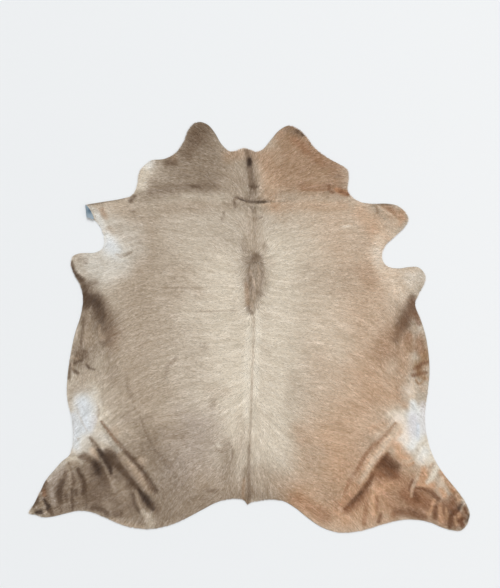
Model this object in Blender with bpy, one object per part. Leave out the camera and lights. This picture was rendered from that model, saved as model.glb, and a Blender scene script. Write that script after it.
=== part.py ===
"""A hair-on cowhide, laid flat with its hair side up.

The hide is one skin: neck, four shanks and a stub of tail. It lies flat on its flesh side, except where it
puckers beside the hind legs, where short creases cross the neck and the shanks, and at the end of the left
foreleg, which is folded over on itself. The front (the neck) is towards +Y. The origin is at the middle of
the outline, on the surface that the hide lies on.

Left and right are those of someone who looks down at the hide with its neck away from them.
"""

from collections import namedtuple
from math import ceil, cos, pi, sin

import bmesh
import bpy
from mathutils import Vector
from mathutils.geometry import delaunay_2d_cdt, interpolate_bezier, intersect_point_line

# Driving dimensions, in metres.
LEATHER = 0.0025  # tanned skin
COAT = 0.0015  # short hair, lying flat on it
THICKNESS = LEATHER + COAT
TIP_FOLD_RADIUS = 0.0065  # flesh side of the bend at the left foreleg's end
TIP_FOLD_LINE = ((-0.813, 0.610), (-0.806, 0.551))  # its axis, from the leg's front edge to its back edge
TIP_REACH = 0.110  # how far behind that axis's first end the folded tip can lie

# How finely the shape is cut into triangles.
EDGE_STEP = 0.022
FIELD_STEP = 0.080
FOLD_STEP = 0.015
CLOSEST = 0.0055
EDGE_CLEARANCE = 0.009

# The cut edge, counter-clockwise from the nape, as if the tip of the left foreleg were still flat.
# Each row: stretch, then its points (x, y).
OUTLINE = (
    ("nape nub", ((-0.024, 0.892),)),
    ("left neck lobe", (
        (-0.091, 0.876), (-0.137, 0.912), (-0.174, 0.973), (-0.207, 1.011), (-0.244, 1.025),
        (-0.278, 1.014), (-0.305, 0.979), (-0.329, 0.920), (-0.371, 0.867))),
    ("left shoulder", (
        (-0.427, 0.841), (-0.489, 0.834), (-0.524, 0.809), (-0.548, 0.774), (-0.560, 0.701),
        (-0.584, 0.660), (-0.634, 0.643))),
    ("left foreleg", (
        (-0.759, 0.622), (-0.814, 0.612), (-0.834, 0.606), (-0.853, 0.530), (-0.825, 0.546),
        (-0.804, 0.549), (-0.775, 0.538))),
    ("left armpit", ((-0.737, 0.490), (-0.724, 0.436), (-0.734, 0.394), (-0.768, 0.374))),
    ("left chest lobe", (
        (-0.849, 0.369), (-0.881, 0.354), (-0.890, 0.316), (-0.874, 0.266), (-0.842, 0.206))),
    ("left flank", (
        (-0.831, 0.141), (-0.842, 0.062), (-0.871, -0.029), (-0.893, -0.132), (-0.910, -0.257),
        (-0.908, -0.354))),
    ("left groin", ((-0.886, -0.458), (-0.881, -0.534), (-0.887, -0.604), (-0.901, -0.641))),
    ("left hind shank", (
        (-0.936, -0.670), (-0.979, -0.718), (-1.019, -0.767), (-1.042, -0.814), (-1.075, -0.880),
        (-1.101, -0.931), (-1.067, -0.935), (-1.032, -0.948), (-0.987, -0.947), (-0.917, -0.930),
        (-0.847, -0.916))),
    ("left buttock", (
        (-0.778, -0.926), (-0.726, -0.947), (-0.652, -0.979), (-0.577, -1.000), (-0.496, -1.006),
        (-0.417, -0.993), (-0.327, -0.959), (-0.242, -0.915), (-0.162, -0.874))),
    ("tail stub", (
        (-0.092, -0.855), (-0.038, -0.857), (-0.021, -0.869), (-0.010, -0.885), (0.005, -0.874),
        (0.054, -0.863))),
    ("right buttock", (
        (0.103, -0.858), (0.168, -0.868), (0.228, -0.902), (0.288, -0.950), (0.353, -0.995),
        (0.424, -1.021), (0.478, -1.025), (0.556, -1.015), (0.658, -0.985), (0.755, -0.962))),
    ("right hind shank", (
        (0.837, -0.961), (0.903, -0.975), (0.959, -0.999), (1.013, -1.014), (1.051, -1.014),
        (1.083, -0.988), (1.101, -0.934), (1.086, -0.889), (1.043, -0.822), (0.975, -0.739),
        (0.926, -0.662))),
    ("right groin", ((0.893, -0.575), (0.878, -0.484), (0.879, -0.389))),
    ("right flank", (
        (0.891, -0.317), (0.900, -0.234), (0.897, -0.149), (0.881, -0.044), (0.856, 0.038),
        (0.831, 0.100), (0.828, 0.128))),
    ("right chest lobe", (
        (0.841, 0.160), (0.868, 0.211), (0.879, 0.249), (0.868, 0.278), (0.843, 0.300),
        (0.798, 0.301))),
    ("right armpit", (
        (0.748, 0.294), (0.697, 0.301), (0.667, 0.327), (0.659, 0.366), (0.680, 0.412))),
    ("right foreleg", (
        (0.731, 0.459), (0.771, 0.498), (0.793, 0.539), (0.776, 0.577), (0.736, 0.608),
        (0.683, 0.618), (0.613, 0.617))),
    ("right shoulder", (
        (0.548, 0.628), (0.509, 0.653), (0.489, 0.682), (0.492, 0.731), (0.491, 0.778),
        (0.473, 0.801), (0.432, 0.823))),
    ("right neck lobe", (
        (0.377, 0.854), (0.323, 0.895), (0.281, 0.951), (0.246, 0.985), (0.195, 1.007),
        (0.148, 0.983), (0.103, 0.931), (0.063, 0.885))),
    ("nape hollow", ((0.033, 0.874), (0.006, 0.883))),
)

# A fold runs along its crease. Its ridge swells on one side of that line, and a low lip on the other.
# side: 1 where the ridge is on the left of the way the crease runs, -1 on the right
# lip: the lip's height as a share of the ridge's; crest: where the ridge is highest, as a share of its width
# stations: x, y, the ridge's height there and its width
Fold = namedtuple("Fold", "name side lip crest stations")
Station = namedtuple("Station", "x y height width")

FOLDS = (
    Fold("left flank pucker", -1, 0.14, 0.46, (
        Station(-0.739, -0.465, 0.0000, 0.016),
        Station(-0.731, -0.479, 0.0030, 0.022),
        Station(-0.688, -0.536, 0.0060, 0.036),
        Station(-0.649, -0.579, 0.0090, 0.048),
        Station(-0.611, -0.617, 0.0110, 0.054),
        Station(-0.573, -0.665, 0.0130, 0.062),
        Station(-0.534, -0.718, 0.0145, 0.068),
        Station(-0.501, -0.766, 0.0150, 0.070),
        Station(-0.472, -0.809, 0.0130, 0.066),
        Station(-0.449, -0.854, 0.0060, 0.054),
        Station(-0.432, -0.894, 0.0000, 0.040),
    )),
    Fold("left hock pucker", -1, 0.10, 0.48, (
        Station(-0.800, -0.542, 0.0000, 0.016),
        Station(-0.764, -0.598, 0.0035, 0.024),
        Station(-0.735, -0.636, 0.0050, 0.030),
        Station(-0.707, -0.679, 0.0050, 0.032),
        Station(-0.692, -0.734, 0.0030, 0.028),
        Station(-0.674, -0.794, 0.0000, 0.020),
    )),
    Fold("left buttock ridge", -1, 0.00, 0.50, (
        Station(-0.562, -0.839, 0.0000, 0.026),
        Station(-0.549, -0.869, 0.0035, 0.032),
        Station(-0.529, -0.909, 0.0050, 0.034),
        Station(-0.512, -0.949, 0.0040, 0.034),
        Station(-0.492, -1.004, 0.0020, 0.030),
    )),
    Fold("left loin dip", -1, 0.20, 0.48, (
        Station(-0.517, -0.489, 0.0000, 0.030),
        Station(-0.477, -0.549, 0.0020, 0.034),
        Station(-0.436, -0.632, 0.0030, 0.038),
        Station(-0.374, -0.703, 0.0030, 0.038),
        Station(-0.342, -0.764, 0.0020, 0.034),
        Station(-0.312, -0.819, 0.0000, 0.030),
    )),
    Fold("right flank pucker", 1, 0.14, 0.46, (
        Station(0.742, -0.463, 0.0000, 0.018),
        Station(0.730, -0.479, 0.0030, 0.028),
        Station(0.689, -0.524, 0.0070, 0.044),
        Station(0.643, -0.565, 0.0095, 0.052),
        Station(0.607, -0.606, 0.0110, 0.058),
        Station(0.582, -0.652, 0.0120, 0.060),
        Station(0.551, -0.698, 0.0130, 0.064),
        Station(0.526, -0.744, 0.0140, 0.066),
        Station(0.495, -0.790, 0.0130, 0.064),
        Station(0.470, -0.825, 0.0100, 0.060),
        Station(0.438, -0.864, 0.0050, 0.052),
        Station(0.408, -0.899, 0.0000, 0.042),
    )),
    Fold("right groin tuck", -1, 0.20, 0.48, (
        Station(0.888, -0.574, 0.0020, 0.020),
        Station(0.866, -0.592, 0.0030, 0.024),
        Station(0.846, -0.608, 0.0025, 0.024),
        Station(0.816, -0.629, 0.0000, 0.018),
    )),
    Fold("right hock ridge", 1, 0.00, 0.50, (
        Station(0.848, -0.714, 0.0000, 0.018),
        Station(0.838, -0.754, 0.0030, 0.022),
        Station(0.823, -0.789, 0.0035, 0.024),
        Station(0.803, -0.854, 0.0000, 0.018),
    )),
    Fold("nape crease", -1, 0.45, 0.48, (
        Station(-0.082, 0.651, 0.0000, 0.024),
        Station(-0.029, 0.634, 0.0035, 0.032),
        Station(0.032, 0.621, 0.0045, 0.036),
        Station(0.103, 0.624, 0.0020, 0.030),
        Station(0.163, 0.624, 0.0000, 0.026),
    )),
    Fold("left armpit crease", -1, 0.30, 0.48, (
        Station(-0.677, 0.368, 0.0000, 0.022),
        Station(-0.661, 0.356, 0.0020, 0.028),
        Station(-0.634, 0.352, 0.0040, 0.032),
        Station(-0.607, 0.362, 0.0035, 0.032),
        Station(-0.567, 0.398, 0.0000, 0.022),
    )),
    Fold("right foreleg ridge", -1, 0.00, 0.50, (
        Station(0.636, 0.611, 0.0020, 0.022),
        Station(0.658, 0.583, 0.0035, 0.026),
        Station(0.686, 0.558, 0.0035, 0.026),
        Station(0.733, 0.526, 0.0000, 0.018),
    )),
    Fold("right shoulder tuck", 1, 0.30, 0.48, (
        Station(0.488, 0.678, 0.0030, 0.022),
        Station(0.458, 0.672, 0.0035, 0.026),
        Station(0.398, 0.686, 0.0000, 0.018),
    )),
)
LIP_REACH = 0.55  # the lip's width as a share of the ridge's


def clear_scene():
    for obj in list(bpy.data.objects):
        bpy.data.objects.remove(obj)


def curve_between(before, start, end, after, count):
    """Points on the smooth curve from start up to, but not with, end. It bends with its neighbours."""
    gaps = [max((b - a).length, 1e-9) ** 0.5 for a, b in ((before, start), (start, end), (end, after))]
    chord = (end - start) / gaps[1]
    leave = (start - before) / gaps[0] - (end - before) / (gaps[0] + gaps[1]) + chord
    arrive = chord - (after - start) / (gaps[1] + gaps[2]) + (after - end) / gaps[2]
    third = gaps[1] / 3
    return interpolate_bezier(start, start + leave * third, end - arrive * third, end, count + 1)[:-1]


def cut_edge(step):
    """The outline as an even run of points that keeps every point of the table."""
    corners = [Vector((x, y, 0)) for _, stretch in OUTLINE for x, y in stretch]
    points = []
    for i, start in enumerate(corners):
        end, after = corners[(i + 1) % len(corners)], corners[(i + 2) % len(corners)]
        count = max(1, ceil((end - start).length / step))
        points += curve_between(corners[i - 1], start, end, after, count)
    return points


def smooth_fold(fold, step):
    """The same fold with many more stations, which follow a smooth curve through those of its table."""
    corners = [Vector((station.x, station.y, 0)) for station in fold.stations]
    corners = [2 * corners[0] - corners[1], *corners, 2 * corners[-1] - corners[-2]]
    stations = []
    for i, (a, b) in enumerate(zip(fold.stations, fold.stations[1:])):
        before, start, end, after = corners[i : i + 4]
        count = max(1, ceil((end - start).length / step))
        for k, point in enumerate(curve_between(before, start, end, after, count)):
            height = a.height + (b.height - a.height) * k / count
            width = a.width + (b.width - a.width) * k / count
            stations.append(Station(point.x, point.y, height, width))
    return fold._replace(stations=(*stations, fold.stations[-1]))


def fold_at(fold, x, y):
    """Where a point lies on a fold: its distance past the crease, and the fold's height and width there."""
    here = Vector((x, y))
    nearest, found = None, None
    for a, b in zip(fold.stations, fold.stations[1:]):
        start, end = Vector(a[:2]), Vector(b[:2])
        foot, share = intersect_point_line(here, start, end)
        share = min(max(share, 0.0), 1.0)
        foot = start.lerp(end, share)
        gap = (here - foot).length
        if nearest is None or gap < nearest:
            nearest = gap
            turn = (end - start).cross(here - start)
            past = gap if turn * fold.side > 0 else -gap
            height = a.height + (b.height - a.height) * share
            width = a.width + (b.width - a.width) * share
            found = (past, height, width)
    return found


def rise(fold, past, height, width):
    """How far a fold lifts the skin at this distance past its crease."""
    crest, lip = fold.crest * width, LIP_REACH * width
    if 0 <= past <= crest:
        return height * (1 - cos(pi * past / crest)) / 2
    if crest < past < width:
        return height * (1 + cos(pi * (past - crest) / (width - crest))) / 2
    if -lip < past < 0:
        return height * fold.lip * (1 - cos(2 * pi * past / lip)) / 2
    return 0.0


SMOOTH_FOLDS = [smooth_fold(fold, FOLD_STEP) for fold in FOLDS]


def lift(x, y):
    return sum(rise(fold, *fold_at(fold, x, y)) for fold in SMOOTH_FOLDS)


def place(x, y, above):
    """Where a point of the flat skin comes to lie, this far above the flesh side."""
    front, back = Vector(TIP_FOLD_LINE[0]), Vector(TIP_FOLD_LINE[1])
    along = (back - front).normalized()
    outwards = Vector((along.y, -along.x))
    run = (Vector((x, y)) - front).dot(along)
    past = (Vector((x, y)) - front).dot(outwards)
    if past <= 0 or not -TIP_REACH < run < TIP_REACH:
        return Vector((x, y, lift(x, y) + above))
    radius = TIP_FOLD_RADIUS - above
    angle = min(past / TIP_FOLD_RADIUS, pi)
    beyond = max(past - pi * TIP_FOLD_RADIUS, 0.0)
    flat = front + along * run + outwards * (radius * sin(angle) - beyond)
    return Vector((*flat, TIP_FOLD_RADIUS - radius * cos(angle)))


def inside(point, edge):
    """Whether a point is inside the closed outline."""
    crossed = False
    for a, b in zip(edge, edge[1:] + edge[:1]):
        if (a.y > point.y) != (b.y > point.y):
            crossed ^= point.x < a.x + (b.x - a.x) * (point.y - a.y) / (b.y - a.y)
    return crossed


def fold_points():
    """Rows of points beside each crease, where the folded skin bends most."""
    for fold in SMOOTH_FOLDS:
        rows = [fold.crest, 0.0, 1.0, (1 + fold.crest) / 2, fold.crest / 2]
        if fold.lip:
            rows += [-LIP_REACH / 2, -LIP_REACH]
        last = len(fold.stations) - 1
        for row in rows:
            for i, station in enumerate(fold.stations):
                a, b = fold.stations[max(i - 1, 0)], fold.stations[min(i + 1, last)]
                sideways = Vector((a.y - b.y, b.x - a.x)).normalized() * fold.side
                yield Vector((station.x, station.y)) + sideways * station.width * row


def tip_points():
    """Rows of points round the bend of the folded tip."""
    front, back = Vector(TIP_FOLD_LINE[0]), Vector(TIP_FOLD_LINE[1])
    along = (back - front).normalized()
    outwards = Vector((along.y, -along.x))
    for turn in range(7):
        for run in range(1, 6):
            yield front.lerp(back, run / 6) + outwards * TIP_FOLD_RADIUS * pi * turn / 6


def field_points():
    """An even triangular grid over the whole hide."""
    row_height = FIELD_STEP * 3**0.5 / 2
    reach = ceil(1.2 / FIELD_STEP)
    for row in range(-reach - 2, reach + 3):
        for column in range(-reach, reach + 1):
            yield Vector((FIELD_STEP * (column + row % 2 / 2), row_height * row))


def pattern_points(edge):
    """The outline's points, then those inside it, none closer to another than CLOSEST."""
    kept = [Vector((p.x, p.y)) for p in edge]
    edge_count = len(kept)
    for source, gap in ((tip_points, 0.002), (fold_points, CLOSEST), (field_points, FIELD_STEP * 0.4)):
        edge_gap = min(gap, EDGE_CLEARANCE) if source is tip_points else max(gap, EDGE_CLEARANCE)
        for point in source():
            if not inside(point, kept[:edge_count]):
                continue
            if min((point - p).length for p in kept[:edge_count]) < edge_gap:
                continue
            if any((point - p).length < gap for p in kept[edge_count:]):
                continue
            kept.append(point)
    return kept, edge_count


def hide_mesh():
    """The skin is cut flat, given its thickness and then laid, so it is as thick everywhere."""
    points, edge_count = pattern_points(cut_edge(EDGE_STEP))
    cut = [(i, (i + 1) % edge_count) for i in range(edge_count)]
    corners, _, faces, _, _, _ = delaunay_2d_cdt(points, cut, [], 1, 1e-6)

    bm = bmesh.new()
    flesh = [bm.verts.new((*corner, 0.0)) for corner in corners]
    for face in faces:
        bm.faces.new([flesh[i] for i in face])
    raised = bmesh.ops.extrude_face_region(bm, geom=bm.faces[:])["geom"]
    hair = [v for v in raised if isinstance(v, bmesh.types.BMVert)]
    for verts, above in ((flesh, 0.0), (hair, THICKNESS)):
        for v in verts:
            v.co = place(v.co.x, v.co.y, above)
    bmesh.ops.recalc_face_normals(bm, faces=bm.faces[:])

    low = Vector([min(v.co[i] for v in bm.verts) for i in range(3)])
    high = Vector([max(v.co[i] for v in bm.verts) for i in range(3)])
    middle = Vector(((low.x + high.x) / 2, (low.y + high.y) / 2, 0.0))
    bmesh.ops.translate(bm, vec=-middle, verts=bm.verts[:])

    mesh = bpy.data.meshes.new("hide")
    bm.to_mesh(mesh)
    bm.free()
    mesh.shade_smooth()
    mesh.set_sharp_from_angle(angle=1.0)
    return mesh


def hair_on_leather():
    material = bpy.data.materials.new("hair_on_leather")
    material.use_nodes = True
    shader = material.node_tree.nodes["Principled BSDF"]
    shader.inputs["Base Color"].default_value = (0.42, 0.33, 0.25, 1.0)
    shader.inputs["Roughness"].default_value = 0.62
    shader.inputs["Metallic"].default_value = 0.0
    return material


def main():
    clear_scene()
    mesh = hide_mesh()
    mesh.materials.append(hair_on_leather())
    hide = bpy.data.objects.new("hide", mesh)
    bpy.context.scene.collection.objects.link(hide)


main()
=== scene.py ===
# %% [markdown]
# # A hair-on cowhide, laid flat
#
# A whole cowhide has been tanned with its hair on and lies on the floor, hair side up. The real thing is one
# skin about 2.5 mm thick, with a short, sleek coat. We build it in the same order: cut the skin, lay it with
# its folds, paint the animal's own markings, grow the coat over it in wisps that take their colours from them,
# and light it.
#
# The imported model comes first, because everything here has to lie where its solid lies.

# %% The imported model
from collections import namedtuple

import bmesh
import bpy
import numpy as np
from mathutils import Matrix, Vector
from mathutils.geometry import interpolate_bezier


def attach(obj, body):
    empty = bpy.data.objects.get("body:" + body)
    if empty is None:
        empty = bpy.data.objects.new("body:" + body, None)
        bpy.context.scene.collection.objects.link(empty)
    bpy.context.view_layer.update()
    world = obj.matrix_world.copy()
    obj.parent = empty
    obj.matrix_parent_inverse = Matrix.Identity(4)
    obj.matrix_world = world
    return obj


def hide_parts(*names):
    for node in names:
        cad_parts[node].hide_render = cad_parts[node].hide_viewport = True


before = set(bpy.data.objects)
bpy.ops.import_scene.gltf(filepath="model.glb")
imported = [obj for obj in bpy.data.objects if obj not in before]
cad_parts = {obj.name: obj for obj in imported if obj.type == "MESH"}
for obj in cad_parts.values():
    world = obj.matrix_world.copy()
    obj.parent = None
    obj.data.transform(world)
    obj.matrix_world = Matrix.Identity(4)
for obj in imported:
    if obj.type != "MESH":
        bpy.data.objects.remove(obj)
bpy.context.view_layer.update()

# %% [markdown]
# ## The cut edge
#
# A tanner trims the hide with a knife, so its edge is one smooth closed line. We could trace it with hundreds
# of points, but a smooth curve through a few well chosen ones is easier to read and to mend. We write down the
# points that the knife passes, stretch by stretch from the nape round by the left. A Catmull-Rom curve passes
# through every point, and Blender can draw each stretch of it as a Bezier curve.
#
# The tables in this lesson are in whole millimetres where they can be, and Blender works in metres.

# %% The cut edge, in millimetres: stretch, then x and y of its points
OUTLINE = (
    ("nape nub", ((-24, 892),)),
    ("left neck lobe", ((-91, 876), (-137, 912), (-174, 973), (-207, 1011), (-244, 1025), (-278, 1014),
        (-305, 979), (-329, 920), (-371, 867))),
    ("left shoulder", ((-427, 841), (-489, 834), (-524, 809), (-548, 774), (-560, 701), (-584, 660),
        (-634, 643))),
    ("left foreleg", ((-759, 622), (-814, 612), (-834, 606), (-853, 530), (-825, 546), (-804, 549),
        (-775, 538))),
    ("left armpit", ((-737, 490), (-724, 436), (-734, 394), (-768, 374))),
    ("left chest lobe", ((-849, 369), (-881, 354), (-890, 316), (-874, 266), (-842, 206))),
    ("left flank", ((-831, 141), (-842, 62), (-871, -29), (-893, -132), (-910, -257), (-908, -354))),
    ("left groin", ((-886, -458), (-881, -534), (-887, -604), (-901, -641))),
    ("left hind shank", ((-936, -670), (-979, -718), (-1019, -767), (-1042, -814), (-1075, -880), (-1101, -931),
        (-1067, -935), (-1032, -948), (-987, -947), (-917, -930), (-847, -916))),
    ("left buttock", ((-778, -926), (-726, -947), (-652, -979), (-577, -1000), (-496, -1006), (-417, -993),
        (-327, -959), (-242, -915), (-162, -874))),
    ("tail stub", ((-92, -855), (-38, -857), (-21, -869), (-10, -885), (5, -874), (54, -863))),
    ("right buttock", ((103, -858), (168, -868), (228, -902), (288, -950), (353, -995), (424, -1021),
        (478, -1025), (556, -1015), (658, -985), (755, -962))),
    ("right hind shank", ((837, -961), (903, -975), (959, -999), (1013, -1014), (1051, -1014), (1083, -988),
        (1101, -934), (1086, -889), (1043, -822), (975, -739), (926, -662))),
    ("right groin", ((893, -575), (878, -484), (879, -389))),
    ("right flank", ((891, -317), (900, -234), (897, -149), (881, -44), (856, 38), (831, 100), (828, 128))),
    ("right chest lobe", ((841, 160), (868, 211), (879, 249), (868, 278), (843, 300), (798, 301))),
    ("right armpit", ((748, 294), (697, 301), (667, 327), (659, 366), (680, 412))),
    ("right foreleg", ((731, 459), (771, 498), (793, 539), (776, 577), (736, 608), (683, 618), (613, 617))),
    ("right shoulder", ((548, 628), (509, 653), (489, 682), (492, 731), (491, 778), (473, 801), (432, 823))),
    ("right neck lobe", ((377, 854), (323, 895), (281, 951), (246, 985), (195, 1007), (148, 983), (103, 931),
        (63, 885))),
    ("nape hollow", ((33, 874), (6, 883))),
)
MILLIMETRE = 1000  # of them to a metre

# %% A smooth curve through the points
EDGE_STEP = 0.012  # between points of the cut edge


def curve_between(before, start, end, after, count):
    """Points on the smooth curve from start up to, but not with, end. It bends with its neighbours."""
    pairs = ((before, start), (start, end), (end, after))
    gaps = [max((b - a).length, 1e-9) ** 0.5 for a, b in pairs]
    chord = (end - start) / gaps[1]
    leave = (start - before) / gaps[0] - (end - before) / (gaps[0] + gaps[1]) + chord
    arrive = chord - (after - start) / (gaps[1] + gaps[2]) + (after - end) / gaps[2]
    third = gaps[1] / 3
    return interpolate_bezier(start, start + leave * third, end - arrive * third, end, count + 1)[:-1]


def cut_edge(step):
    """Points along the whole cut edge, no more than a step apart."""
    corners = [Vector((x / MILLIMETRE, y / MILLIMETRE, 0)) for _, stretch in OUTLINE for x, y in stretch]
    points = []
    for i, start in enumerate(corners):
        end, after = corners[(i + 1) % len(corners)], corners[(i + 2) % len(corners)]
        count = max(1, int(np.ceil((end - start).length / step)))
        points += curve_between(corners[i - 1], start, end, after, count)
    return points


knife_line = cut_edge(EDGE_STEP)
EDGE = np.array([point.xy for point in knife_line])
EDGE_TO = np.roll(EDGE, -1, axis=0)

# %% [markdown]
# ## The folds
#
# A hide isn't quite flat. It puckers where the hind legs join the belly, it creases across the nape, and the
# end of the left foreleg is turned over, flesh side up. Cloth simulation would make folds of its own choice,
# so each one is placed one by one: a crease line, with a ridge that swells on one side of it and a low lip
# on the other. Heights and widths are in the table, and a cosine makes each flank smooth.

# %% The folds as a table, in millimetres
Fold = namedtuple("Fold", "name side lip crest stations")
# side: 1 where the ridge is on the left of the way the crease runs, -1 on the right
# lip: the lip's height as a share of the ridge's; crest: the crest's place, as a share of the ridge's width
# stations: x, y, the ridge's height there, its width
FOLD_TABLE = (
    Fold("left flank pucker", -1, 0.14, 0.46, ((-739, -465, 0, 16), (-731, -479, 3, 22), (-688, -536, 6, 36),
        (-649, -579, 9, 48), (-611, -617, 11, 54), (-573, -665, 13, 62), (-534, -718, 14.5, 68),
        (-501, -766, 15, 70), (-472, -809, 13, 66), (-449, -854, 6, 54), (-432, -894, 0, 40))),
    Fold("left hock pucker", -1, 0.1, 0.48, ((-800, -542, 0, 16), (-764, -598, 3.5, 24), (-735, -636, 5, 30),
        (-707, -679, 5, 32), (-692, -734, 3, 28), (-674, -794, 0, 20))),
    Fold("left buttock ridge", -1, 0, 0.5, ((-562, -839, 0, 26), (-549, -869, 3.5, 32), (-529, -909, 5, 34),
        (-512, -949, 4, 34), (-492, -1004, 2, 30))),
    Fold("left loin dip", -1, 0.2, 0.48, ((-517, -489, 0, 30), (-477, -549, 2, 34), (-436, -632, 3, 38),
        (-374, -703, 3, 38), (-342, -764, 2, 34), (-312, -819, 0, 30))),
    Fold("right flank pucker", 1, 0.14, 0.46, ((742, -463, 0, 18), (730, -479, 3, 28), (689, -524, 7, 44),
        (643, -565, 9.5, 52), (607, -606, 11, 58), (582, -652, 12, 60), (551, -698, 13, 64),
        (526, -744, 14, 66), (495, -790, 13, 64), (470, -825, 10, 60), (438, -864, 5, 52), (408, -899, 0, 42))),
    Fold("right groin tuck", -1, 0.2, 0.48, ((888, -574, 2, 20), (866, -592, 3, 24), (846, -608, 2.5, 24),
        (816, -629, 0, 18))),
    Fold("right hock ridge", 1, 0, 0.5, ((848, -714, 0, 18), (838, -754, 3, 22), (823, -789, 3.5, 24),
        (803, -854, 0, 18))),
    Fold("nape crease", -1, 0.45, 0.48, ((-82, 651, 0, 24), (-29, 634, 3.5, 32), (32, 621, 4.5, 36),
        (103, 624, 2, 30), (163, 624, 0, 26))),
    Fold("left armpit crease", -1, 0.3, 0.48, ((-677, 368, 0, 22), (-661, 356, 2, 28), (-634, 352, 4, 32),
        (-607, 362, 3.5, 32), (-567, 398, 0, 22))),
    Fold("right foreleg ridge", -1, 0, 0.5, ((636, 611, 2, 22), (658, 583, 3.5, 26), (686, 558, 3.5, 26),
        (733, 526, 0, 18))),
    Fold("right shoulder tuck", 1, 0.3, 0.48, ((488, 678, 3, 22), (458, 672, 3.5, 26), (398, 686, 0, 18))),
)
FOLDS = [fold._replace(stations=np.array(fold.stations) / MILLIMETRE) for fold in FOLD_TABLE]
print(len(FOLDS), "folds")


# %% Each fold's crease as a smooth line
def smooth_stations(fold, step):
    """The fold's stations again, closer together and on a smooth curve: an array of x, y, height, width."""
    corners = [Vector((x, y, 0)) for x, y, _, _ in fold.stations]
    corners = [2 * corners[0] - corners[1], *corners, 2 * corners[-1] - corners[-2]]
    rows = []
    for i, (a, b) in enumerate(zip(fold.stations, fold.stations[1:])):
        count = max(1, int(np.ceil((corners[i + 2] - corners[i + 1]).length / step)))
        for k, point in enumerate(curve_between(*corners[i : i + 4], count)):
            size = a[2:] + (b[2:] - a[2:]) * k / count
            rows.append((*point.xy, *size))
    return np.array([*rows, fold.stations[-1]])


# %% How far the folds lift the skin
LIP_REACH = 0.55  # how far a lip reaches, as a share of the ridge's width
CREASE_STEP = 0.015
FOLD_REACH = 0.08  # nothing further from a crease is lifted


def fold_rise(fold, rows, x, y):
    """How far one fold lifts the skin at each point."""
    nearest = np.full(x.shape, np.inf)
    past, height, width = np.zeros(x.shape), np.zeros(x.shape), np.ones(x.shape)
    for a, b in zip(rows, rows[1:]):
        way = b[:2] - a[:2]
        share = np.clip(((x - a[0]) * way[0] + (y - a[1]) * way[1]) / (way @ way), 0, 1)
        away_x, away_y = x - a[0] - share * way[0], y - a[1] - share * way[1]
        gap = np.hypot(away_x, away_y)
        closer = gap < nearest
        turn = way[0] * (y - a[1]) - way[1] * (x - a[0])
        nearest = np.where(closer, gap, nearest)
        past = np.where(closer, np.where(turn * fold.side > 0, gap, -gap), past)
        height = np.where(closer, a[2] + (b[2] - a[2]) * share, height)
        width = np.where(closer, a[3] + (b[3] - a[3]) * share, width)
    crest, lip = fold.crest * width, LIP_REACH * width
    up = height * (1 - np.cos(np.pi * past / crest)) / 2
    down = height * (1 + np.cos(np.pi * (past - crest) / (width - crest))) / 2
    edge = height * fold.lip * (1 - np.cos(2 * np.pi * past / lip)) / 2
    on_ridge = np.where(past <= crest, up, down) * ((past >= 0) & (past < width))
    return on_ridge + edge * ((past < 0) & (past > -lip))


def lift(x, y):
    """How high the flesh side lies above the floor."""
    total = np.zeros(x.shape)
    for fold in FOLDS:
        rows = smooth_stations(fold, CREASE_STEP)
        low, high = rows[:, :2].min(0) - FOLD_REACH, rows[:, :2].max(0) + FOLD_REACH
        near = (x > low[0]) & (x < high[0]) & (y > low[1]) & (y < high[1])
        total[near] += fold_rise(fold, rows, x[near], y[near])
    return total


# %% Laying the flat skin
FLAP_LINE = np.array(((-0.813, 0.610), (-0.806, 0.551)))  # where the end of the left foreleg turns over
FLAP_RADIUS = 0.0065  # of the turn
FLAP_REACH = 0.110  # only the foreleg this near to the line turns with it
SLOPE_STEP = 0.002  # over which a slope is measured


def lay(x, y, above):
    """Where points of the flat skin come to lie, each this far above the flesh side."""
    front, back = FLAP_LINE
    along = (back - front) / np.linalg.norm(back - front)
    outwards = np.array((along[1], -along[0]))
    run = (x - front[0]) * along[0] + (y - front[1]) * along[1]
    past = (x - front[0]) * outwards[0] + (y - front[1]) * outwards[1]
    folded = (past > 0) & (np.abs(run) < FLAP_REACH)
    level = lift(x, y)
    slope_x = (lift(x + SLOPE_STEP, y) - level) / SLOPE_STEP
    slope_y = (lift(x, y + SLOPE_STEP) - level) / SLOPE_STEP
    upright = above / np.sqrt(1 + slope_x**2 + slope_y**2)
    radius = FLAP_RADIUS - above
    angle = np.clip(past / FLAP_RADIUS, 0, np.pi)
    beyond = np.maximum(past - np.pi * FLAP_RADIUS, 0)
    off = radius * np.sin(angle) - beyond
    return np.stack([
        np.where(folded, front[0] + along[0] * run + outwards[0] * off, x - slope_x * upright),
        np.where(folded, front[1] + along[1] * run + outwards[1] * off, y - slope_y * upright),
        np.where(folded, FLAP_RADIUS - radius * np.cos(angle), level + upright),
    ], axis=1)


edge_rise = lay(EDGE[:, 0], EDGE[:, 1], np.zeros(len(EDGE)))[:, 2].max()
print(f"the cut edge rises {edge_rise * 1000:.1f} mm at most")

# %% [markdown]
# ## The skin
#
# The skin starts as one flat face inside the knife's line. Bisecting it again and again, like ruling a grid on
# it, gives square cells that end exactly at the cut edge. Where a fold will be, the cells are halved twice.
# Then the face is extruded and every corner is moved to where it lies, the hair side a leather's thickness
# above the flesh side. A Solidify modifier could thicken the skin after it is laid, but the hair has to be laid
# over the same folds, so one rule lays both sides and the hair. The thickness stays the same everywhere, as in
# real leather.

# %% Cutting and ruling the flat skin
CELL = 0.020  # a cell of the skin
FIRST_LINES, LAST_LINES = (-1.10, -1.02), (1.11, 1.03)  # across X, across Y
SNAP = 0.0005  # corners nearer than this become one
TOUCHING = 1e-6  # a corner this near to a line is on it
FOLD_MARGIN = 0.03  # the cells are halved this far beyond a fold
FLAP_MIDDLE, FLAP_SIZE = (-0.83, 0.58), 0.05  # they are halved in the flap too


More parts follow.
